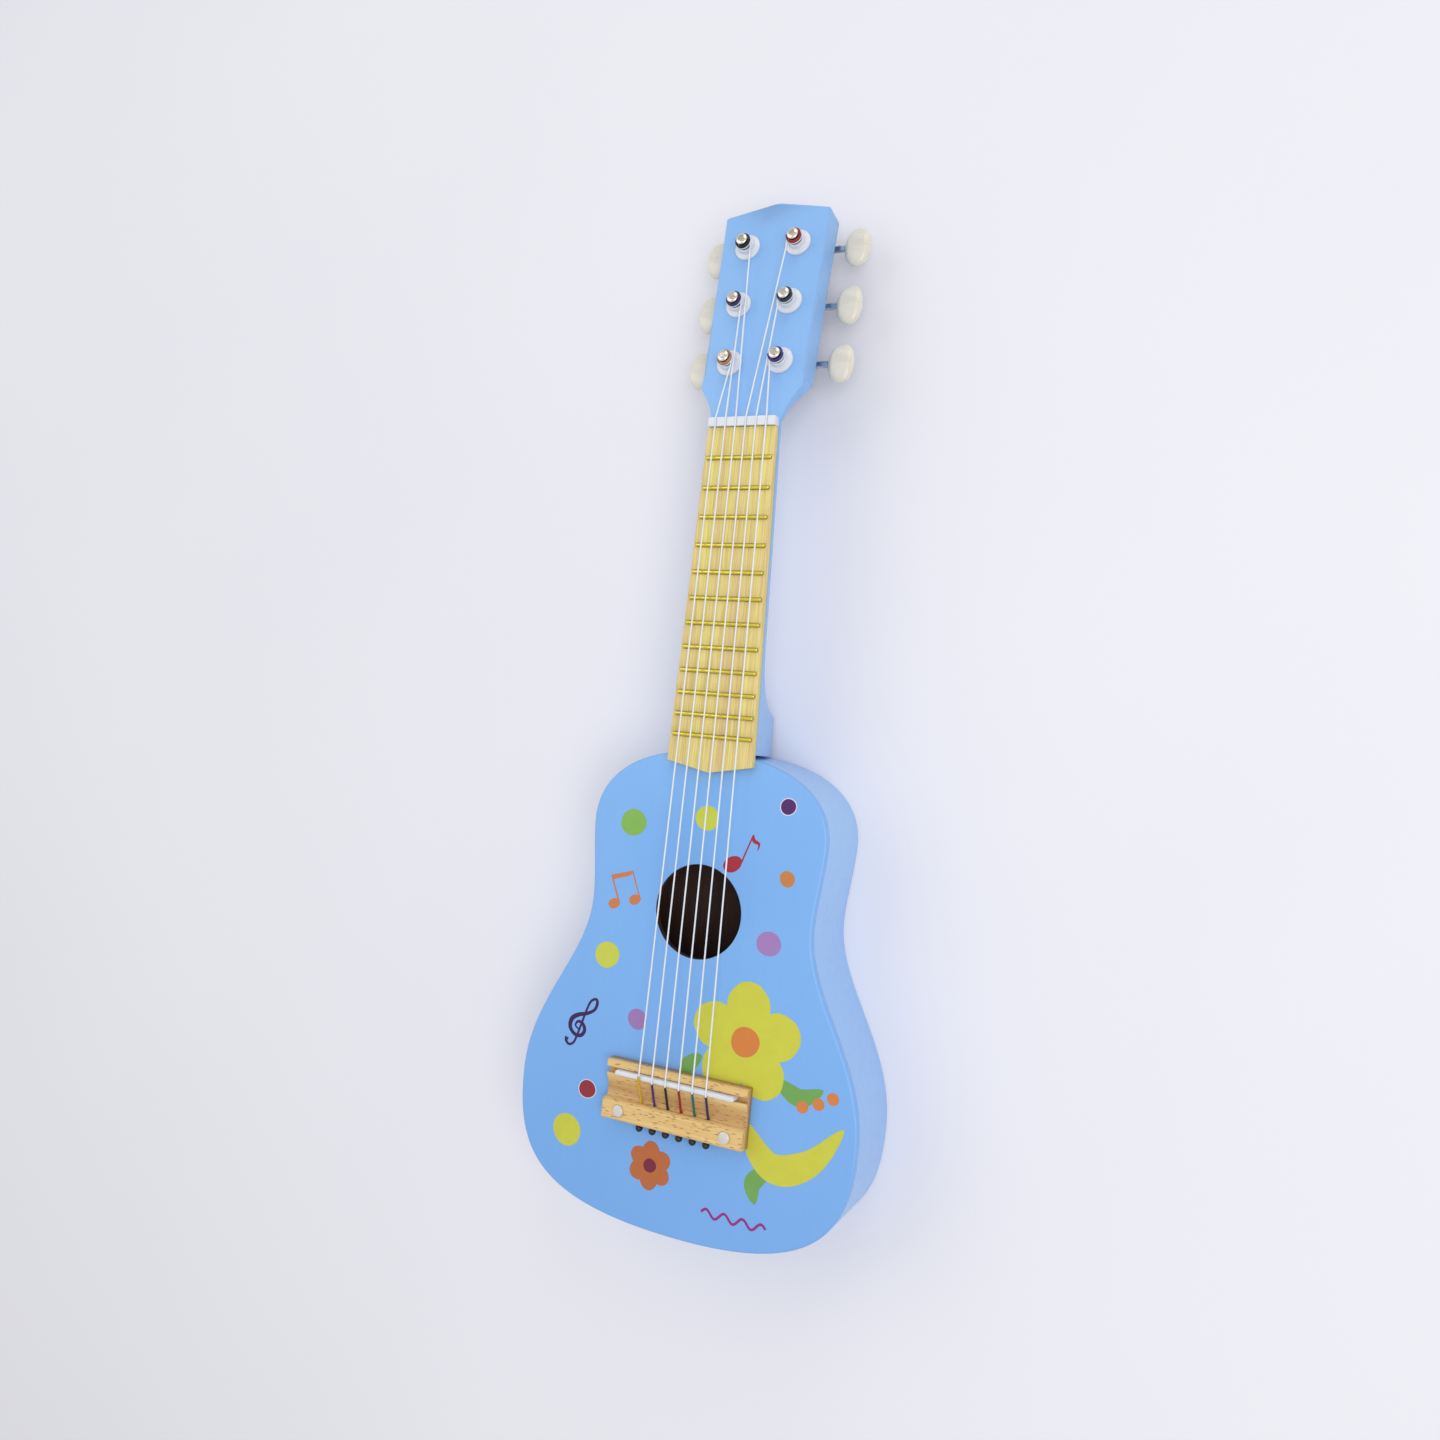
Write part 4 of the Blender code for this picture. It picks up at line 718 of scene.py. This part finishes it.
# ---------------------------------------------------------------- strings
# String number: colours of its silk at the bridge and round its post.
SILK = {
    1: ((44, 34, 100), (66, 48, 150)),
    2: ((16, 128, 116), (34, 60, 84)),
    3: ((186, 26, 36), (190, 34, 40)),
    4: ((9, 10, 14), (16, 24, 22)),
    5: ((74, 40, 134), (58, 36, 120)),
    6: ((250, 202, 18), (214, 150, 110)),
}


def string_route(number):
    """Centre line of a string: from its ball end to the saddle, to the nut, then its coil."""
    order = len(SILK) - number
    middle = (len(SILK) - 1) / 2
    saddle_x = (order - middle) * SADDLE_STRING_PITCH
    nut_x = (order - middle) * NUT_STRING_PITCH
    side = -1 if order < TUNERS_PER_SIDE else 1
    post = order if side < 0 else len(SILK) - 1 - order
    rear = BRIDGE_LOW.y
    tail = [
        Vector((saddle_x, rear - 0.0006, STRING_HOLE_Z)),
        Vector((saddle_x, rear + TIE_DEPTH - 0.0002, STRING_HOLE_Z)),
        Vector((saddle_x, rear + TIE_DEPTH + 0.0007, STRING_HOLE_Z + 0.0003)),
        Vector((saddle_x, SADDLE_Y - 0.0015, SADDLE_STRING_Z - 0.0004)),
    ]
    speaking = [
        Vector((saddle_x, SADDLE_Y - 0.0008, SADDLE_STRING_Z - 0.0001)),
        Vector((saddle_x, SADDLE_Y, SADDLE_STRING_Z)),
        Vector((nut_x, NUT_FACE_Y, NUT_STRING_Z)),
        Vector((nut_x, NUT_END_Y, NUT_STRING_Z)),
    ]
    coil = []
    for k in range(COIL_TURNS * COIL_STEPS + 1):
        turn = 2 * math.pi * k / COIL_STEPS
        x = side * (POST_X - COIL_RADIUS * math.cos(turn))
        along = FIRST_POST + post * POST_PITCH + COIL_RADIUS * math.sin(turn)
        out = COIL_START + COIL_PITCH * k / COIL_STEPS
        coil.append(HEAD_ORIGIN + Vector((x, 0.0, 0.0)) + HEAD_ALONG * along + HEAD_OUT * out)
    return saddle_x, tail, speaking, coil


def build_strings():
    """Each string: its silk at the bridge, its white run, the wrapped coil and its ball."""
    for number, (tail_rgb, post_rgb) in SILK.items():
        x, tail, speaking, coil = string_route(number)
        split = COIL_STEPS + COIL_STEPS // 2
        whole = [tail[-1]] + speaking + coil[:split]
        if number == 6:
            whole = speaking + coil[:split]
            tail = tail + speaking[:1] + [speaking[1] + Vector((0.0, 0.0010, 0.0))]
        name = "string_run_%d" % number
        finish(name, tube_mesh(whole, [STRING_RADIUS] * len(whole), 12), NYLON, "guitar",
               ("string_%d" % number,), 60)
        silk = thread("silk_%d" % number, tail_rgb)
        radius = STRING_RADIUS * TAIL_SILK_SWELL
        finish("string_silk_%d" % number, tube_mesh(tail, [radius] * len(tail), 12), silk,
               "guitar", (), 60)
        wrap = thread("post_silk_%d" % number, post_rgb)
        rest = coil[split - 1:]
        radius = STRING_RADIUS * POST_SILK_SWELL
        finish("post_silk_%d" % number, tube_mesh(rest, [radius] * len(rest), 10), wrap,
               "guitar", (), 60)
        profile = []
        for k in range(15):
            a = math.radians(-90 + 180 * k / 14)
            flat = 0.86 if k in (0, 14) else 1.0
            profile.append((max(BALL_RADIUS * math.cos(a), 0.0005),
                            BALL_RADIUS * math.sin(a) * flat))
        ball = lathe_mesh(profile, 28, along_x=True)
        place = Matrix.Translation((x, BRIDGE_LOW.y - BALL_RADIUS - GAP, STRING_HOLE_Z))
        finish("ball_end_%d" % number, ball, BLACK, "guitar", (), 60,
               place @ Matrix.Rotation(math.pi / 2, 4, "Z"))


# ---------------------------------------------------------------- machine heads
def button_shape():
    """Shares of length and size along a finger button, which swells to a rounded oval."""
    stations = [(0.0, 0.36), (0.05, 0.50), (0.12, 0.70), (0.25, 0.885), (0.42, 0.99),
                (0.55, 1.0), (0.68, 0.965), (0.80, 0.85), (0.90, 0.665), (0.96, 0.44),
                (0.99, 0.20), (1.0, 0.05)]
    return flowing(stations, 4)


def build_machine_heads():
    """A finger button, a bushing and a domed post tip for each string."""
    button_points = 48
    for side, label in SIDES:
        for k in range(TUNERS_PER_SIDE):
            along = FIRST_POST + k * POST_PITCH
            tag = "%s_%d" % (label, k + 1)
            rings = []
            for share, size in button_shape():
                ring = []
                for j in range(button_points):
                    a = 2 * math.pi * j / button_points
                    c, s = math.cos(a), math.sin(a)
                    thick = min(1.0, size * 1.25)
                    ring.append((BUTTON_START + BUTTON_LENGTH * share,
                                 BUTTON_WIDTH / 2 * size * c,
                                 BUTTON_THICKNESS / 2 * thick * math.copysign(abs(s) ** 0.9, s)))
                rings.append(ring)
            turn = Matrix.Rotation(math.pi, 4, "Z") if side < 0 else Matrix.Identity(4)
            place = head_frame(side * POST_X, along + AXLE_OFFSET, AXLE_DEPTH) @ turn
            finish("button_skin_" + tag, rings_mesh(rings), PEARL, "tuning_key_" + tag,
                   ("button_" + tag,), 40, place)

            at_post = head_frame(side * POST_X, along, 0.0)
            inner, collar, flange = POST_RADIUS + GAP, COLLAR_RADIUS, FLANGE_RADIUS
            high, low, rest = COLLAR_HEIGHT, FLANGE_HEIGHT, FLANGE_CLEARANCE
            profile = [(inner, -HEAD_THICKNESS), (inner, high - 0.0002), (inner + 0.0002, high),
                       (collar - 0.0004, high), (collar - 0.0001, high - 0.0002),
                       (collar, high - 0.0006), (collar, low + 0.0007),
                       (collar + 0.0002, low + 0.0003), (collar + 0.0006, low + 0.0001),
                       (flange - 0.0005, low), (flange - 0.0001, low - 0.0003),
                       (flange, low - 0.0007), (flange, rest), (SLEEVE_RADIUS, rest),
                       (SLEEVE_RADIUS, -HEAD_THICKNESS)]
            finish("bushing_skin_" + tag, lathe_mesh(profile, 56, hollow=True), WHITE, "guitar",
                   ("bushing_" + tag,), 40, at_post)

            cap = POST_HEIGHT - POST_TIP_HEIGHT
            profile = [(POST_RADIUS - 0.0002, cap - 0.0004)]
            for j in range(9):
                a = math.radians(90 * j / 8)
                profile.append(((POST_RADIUS + 0.00008) * max(math.cos(a), 0.03),
                                cap + POST_TIP_HEIGHT * math.sin(a)))
            finish("post_tip_" + tag, lathe_mesh(profile, 40), GOLD_TIP, "string_post_" + tag,
                   (), 50, at_post)


# ---------------------------------------------------------------- printed decoration
INK_LOW, INK_HEIGHT = 0.000005, 0.00006     # above the soundboard
LAYER = 0.000012
SHAPE_STEP = 0.15               # share of a layer between shapes of one colour


def printed(name, shapes, rgb, layer=0):
    """One colour of ink: closed outlines in millimetres on the soundboard, as one film."""
    piece_mesh = bmesh.new()
    for number, shape in enumerate(shapes):
        low = TOP + INK_LOW
        high = TOP + INK_HEIGHT + layer * LAYER * 2 + number * LAYER * SHAPE_STEP
        part = prism_mesh([(x / 1000, y / 1000) for x, y in shape], low, high)
        data = bpy.data.meshes.new("part")
        bmesh.ops.recalc_face_normals(part, faces=part.faces)
        part.to_mesh(data)
        part.free()
        piece_mesh.from_mesh(data)
        bpy.data.meshes.remove(data)
    return finish(name, piece_mesh, ink(name + "_ink", rgb), "guitar", (), 30)


def blob(x, y, radius, seed=0, squash=1.0, turn=0.0):
    """Hand-cut looking round spot."""
    points = []
    for k in range(64):
        a = 2 * math.pi * k / 64
        r = radius * (1 + 0.022 * math.sin(2 * a + seed) + 0.012 * math.sin(3 * a + 2.1 * seed))
        px, py = r * math.cos(a), r * squash * math.sin(a)
        points.append((x + px * math.cos(turn) - py * math.sin(turn),
                       y + px * math.sin(turn) + py * math.cos(turn)))
    return points


def stroke(points, widths, steps=8):
    """Pen stroke along a smooth line whose width changes, as a row of short outlines."""
    line = flowing([(*p, w) for p, w in zip(points, widths)], steps)
    left, right = [], []
    for k, (x, y, w) in enumerate(line):
        ax, ay, _ = line[max(k - 1, 0)]
        bx, by, _ = line[min(k + 1, len(line) - 1)]
        length = math.hypot(bx - ax, by - ay) or 1.0
        nx, ny = -(by - ay) / length, (bx - ax) / length
        left.append((x + nx * w / 2, y + ny * w / 2))
        right.append((x - nx * w / 2, y - ny * w / 2))
    pieces = []
    stretch = 6
    for k in range(0, len(line) - 1, stretch):
        end = min(k + stretch + 1, len(line))
        pieces.append(left[k:end] + right[k:end][::-1])
    return pieces


def petal(x, y, length, width, turn):
    """Round-ended petal that starts at x, y and points along turn."""
    half = flowing([(0.0, 0.0), (0.30 * length, 0.42 * width), (0.68 * length, 0.5 * width),
                    (0.94 * length, 0.26 * width), (length, 0.0)], 8)
    shape = half + [(px, -py) for px, py in reversed(half[1:-1])]
    c, s = math.cos(turn), math.sin(turn)
    return [(x + px * c - py * s, y + px * s + py * c) for px, py in shape]


def leaf(points, width):
    """Curved leaf along a smooth spine, widest in its middle."""
    spine = flowing(points, 10)
    left, right = [], []
    for k, (x, y) in enumerate(spine):
        t = k / (len(spine) - 1)
        w = width / 2 * math.sin(math.pi * t ** 0.85) ** 0.8
        ax, ay = spine[max(k - 1, 0)]
        bx, by = spine[min(k + 1, len(spine) - 1)]
        length = math.hypot(bx - ax, by - ay)
        nx, ny = -(by - ay) / length, (bx - ax) / length
        left.append((x + nx * w, y + ny * w))
        right.append((x - nx * w, y - ny * w))
    return left + right[-2:0:-1]


def turned(points, x, y, size, angle):
    """Points made larger, turned and moved to x, y."""
    c, s = math.cos(angle) * size, math.sin(angle) * size
    return [(x + px * c - py * s, y + px * s + py * c) for px, py in points]


def build_prints():
    """Spots, notes, clef, flowers and wave, each as a film of ink on the soundboard."""
    printed("spot_green", [blob(-42, -64, 7.4, 1.0, 0.96)], (131, 182, 80))
    printed("spot_lime_top", [blob(0.4, -57, 6.5, 2.0)], (207, 211, 72))
    printed("spot_purple_ring", [blob(44, -46.5, 4.45, 0.5)], (226, 228, 242))
    printed("spot_purple", [blob(44, -46.5, 4.0, 0.5)], (80, 24, 100), 1)
    printed("spot_orange", [blob(47, -82, 4.0, 3.0)], (201, 128, 65))
    printed("spot_violet", [blob(40.5, -115, 6.5, 1.7, 0.95)], (163, 125, 186))
    printed("spot_lime_left", [blob(-50, -135, 7.2, 0.2, 0.96)], (201, 208, 76))
    printed("spot_mauve", [blob(-28.5, -165, 5.4, 2.6)], (156, 120, 180))
    printed("spot_red_ring", [blob(-54, -206.5, 5.35, 1.1, 0.95)], (214, 219, 240))
    printed("spot_red", [blob(-54, -206.5, 4.9, 1.1, 0.95)], (146, 41, 52), 1)
    printed("spot_lime_low", [blob(-64, -230, 8.4, 2.9)], (201, 202, 70))

    tilt = math.radians(20)
    notes = [blob(-49, -107.7, 3.5, 0.4, 0.76, tilt), blob(-36.8, -104, 3.5, 0.9, 0.76, tilt)]
    notes += stroke([(-46.0, -106.8), (-49.0, -100.0), (-51.9, -93.2)], [1.1, 1.0, 1.0])
    notes += stroke([(-33.8, -103.2), (-36.8, -96.4), (-39.7, -89.6)], [0.9, 0.8, 0.8])
    notes.append([(-52.2, -93.0), (-39.6, -89.2), (-40.5, -91.8), (-51.3, -95.4)])
    printed("paired_notes", notes, (204, 124, 72))
    note = [blob(16.8, -78.5, 5.4, 0.3, 0.72, math.radians(28))]
    note += stroke([(21.6, -77.0), (24.2, -69.6), (26.8, -62.5)], [0.9, 0.8, 0.8])
    note += stroke([(26.8, -62.5), (27.4, -65.4), (30.2, -66.8), (29.7, -70.2)],
                   [0.6, 2.0, 1.3, 0.3])
    printed("single_note", note, (166, 34, 52))

    clef = [(0.03, 0.34), (-0.06, 0.36), (-0.05, 0.45), (0.05, 0.47), (0.14, 0.40),
            (0.13, 0.28), (0.01, 0.22), (-0.13, 0.27), (-0.18, 0.41), (-0.11, 0.55),
            (0.02, 0.68), (0.10, 0.82), (0.08, 0.95), (0.02, 0.99), (-0.04, 0.90),
            (-0.03, 0.74), (0.02, 0.48), (0.07, 0.22), (0.08, 0.08), (0.02, 0.0),
            (-0.06, 0.02), (-0.08, 0.08)]
    widths = [0.8, 1.0, 1.4, 1.8, 2.0, 2.0, 1.9, 2.2, 2.5, 2.2, 1.8, 1.6, 1.7, 1.4, 1.3,
              1.2, 1.2, 1.2, 1.2, 1.3, 1.7, 2.5]
    path = turned([(x, y - 0.5) for x, y in clef], -61.5, -172.0, 30.0, math.radians(-28))
    printed("treble_clef", stroke(path, widths, 6), (52, 20, 84))

    petals = [petal(33, -165, 30, 23, math.radians(18 + 72 * k)) for k in range(5)]
    printed("big_flower", petals, (206, 206, 66), 1)
    printed("big_flower_centre", [blob(33, -165, 7.6, 0.6)], (214, 128, 58), 3)
    printed("flower_leaves", [leaf([(52, -180), (64, -186), (76, -180)], 9),
                              leaf([(10, -176), (2, -184), (4, -194)], 8),
                              leaf([(52, -224), (44, -232), (46, -242)], 9)],
            (113, 166, 84))
    printed("lime_leaf", [leaf([(34, -202), (52, -222), (72, -216), (88, -196)], 15)],
            (205, 204, 67), 2)
    printed("berries", [blob(66, -190, 3.0, 0.3), blob(74, -187, 3.0, 1.3),
                        blob(81, -183, 3.0, 2.3)], (214, 128, 64), 2)
    daisy = [petal(-13, -237, 12.5, 9.5, math.radians(90 + 60 * k)) for k in range(6)]
    printed("small_flower", daisy, (186, 104, 57), 1)
    printed("small_flower_centre", [blob(-13, -237, 3.6, 0.9)], (120, 34, 56), 3)
    wave = []
    last = 42
    for k in range(last + 1):
        wave.append((18 + 35 * k / last, -252.5 + 1.9 * math.sin(k * math.pi / 6)))
    printed("wave_line", stroke(wave, [1.3] * len(wave), 3), (150, 40, 130))


# ---------------------------------------------------------------- frets and saddle
def build_frets():
    """Round brass rods across the board, their ends domed."""
    for number in range(1, FRET_COUNT + 1):
        low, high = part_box("fret_%02d" % number)
        half = (high.y - low.y) / 2 * FRET_NARROWING
        height = high.z - FINGERBOARD_TOP
        middle = (low.y + high.y) / 2
        rings = []
        ends = [math.radians(a) for a in (4, 12, 22, 34, 48, 64, 90)]
        stations = [(low.x + half * (1 - math.cos(a)), math.sin(a)) for a in ends]
        stations += [(-x, size) for x, size in reversed(stations)]
        for x, size in stations:
            ring = []
            for k in range(FRET_FINENESS + 1):
                a = math.pi * k / FRET_FINENESS
                ring.append((x, middle + half * size * math.cos(a),
                             FINGERBOARD_TOP + FRET_LIFT + height * size * math.sin(a)))
            rings.append(ring)
        finish("fret_skin_%02d" % number, rings_mesh(rings), FRET_BRASS, "guitar",
               ("fret_%02d" % number,), 50)


def build_saddle():
    """Straight white saddle with round ends and a rounded crown."""
    radius = (SADDLE_HIGH.y - SADDLE_LOW.y) / 2
    reach = SADDLE_HIGH.x - radius
    crown = radius * 0.7
    levels = [(0.0, SADDLE_LOW.z)]
    for k in range(7):
        a = math.radians(15 * k)
        levels.append((crown * (1 - math.cos(a)), SADDLE_HIGH.z - crown * (1 - math.sin(a))))
    rings = []
    for inset, z in levels:
        r = radius - inset
        ring = []
        for end, start in ((reach, -90), (-reach, 90)):
            for k in range(13):
                a = math.radians(start + 15 * k)
                ring.append((end + r * math.cos(a), SADDLE_Y + r * math.sin(a), z))
        rings.append(ring)
    finish("saddle_skin", rings_mesh(rings), WHITE, "guitar", ("saddle",), 40)


# ---------------------------------------------------------------- carried-over CAD nodes
def carried_over():
    """CAD nodes that stay as they are in a finish, and those copied with eased edges."""
    finishes = {
        "neck_block": SHADED_INNER_WOOD, "tail_block": SHADED_INNER_WOOD, "top_brace_lower": SHADED_INNER_WOOD,
        "top_brace_upper": SHADED_INNER_WOOD, "back_brace": SHADED_INNER_WOOD,
    }
    for _, label in SIDES:
        for k in range(TUNERS_PER_SIDE):
            finishes["post_%s_%d" % (label, k + 1)] = STEEL
            finishes["worm_shaft_%s_%d" % (label, k + 1)] = SHAFT_STEEL
    for node, material in finishes.items():
        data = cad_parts[node].data
        data.materials.clear()
        data.materials.append(material)
    soften("fingerboard_skin", "fingerboard", BOARD_WOOD, 0.00025)
    soften("nut_skin", "nut", WHITE, 0.0002)
    soften("bridge_skin", "bridge", BRIDGE_WOOD, 0.00035)
    for _, label in SIDES:
        soften("bridge_cap_skin_" + label, "bridge_cap_" + label, CAP_PLASTIC,
               0.0001)
        soften("tuner_plate_skin_" + label, "tuner_plate_" + label, STEEL,
               0.0002)


# ---------------------------------------------------------------- stage
def build_stage():
    """Round pale floor, soft studio lights and the camera."""
    mesh = lathe_mesh([(0.02, 0.0), (FLOOR_RADIUS, 0.0), (FLOOR_RADIUS, -FLOOR_THICKNESS)], 64)
    g = Graph("floor_finish", 0.85)
    soft = g.noise((3, 3, 3), 3)
    g.colour(g.blend(g.spread(soft, 0.3, 0.7, 0.0, 0.5), srgb(238, 237, 243),
                     srgb(233, 232, 239)))
    floor = finish("floor", mesh, g.material, None)

    world = bpy.data.worlds.new("studio")
    bpy.context.scene.world = world
    world.use_nodes = True
    sky = world.node_tree.nodes["Background"]
    sky.inputs["Color"].default_value = (0.97, 0.98, 1.0, 1.0)
    sky.inputs["Strength"].default_value = 0.52
    for name, spot, aim, size, watts in (
            ("key", (0.9, -0.2, 1.5), (0.0, 0.0, 0.03), 1.3, 13.0),
            ("fill", (-1.1, 0.5, 1.3), (0.0, 0.0, 0.03), 1.6, 6.0),
            ("end", (0.3, 1.4, 0.9), (0.0, 0.1, 0.03), 0.9, 3.0)):
        light = bpy.data.lights.new(name, "AREA")
        light.shape = "DISK"
        light.size = size
        light.energy = watts
        holder = bpy.data.objects.new(name, light)
        bpy.context.scene.collection.objects.link(holder)
        holder.location = spot
        towards = Vector(aim) - Vector(spot)
        holder.rotation_euler = towards.to_track_quat("-Z", "Y").to_euler()

    camera = bpy.data.cameras.new("camera")
    camera.lens = CAMERA_LENS
    camera.sensor_width = 36.0
    camera.clip_start = 0.01
    holder = bpy.data.objects.new("camera", camera)
    bpy.context.scene.collection.objects.link(holder)
    holder.location = CAMERA_PLACE
    holder.rotation_euler = CAMERA_TURN
    bpy.context.scene.camera = holder
    bpy.context.scene.view_settings.view_transform = "Standard"
    bpy.context.scene.view_settings.look = "None"


build_stage()
build_body()
build_neck()
carried_over()
build_frets()
build_saddle()
build_strings()
build_machine_heads()
build_prints()
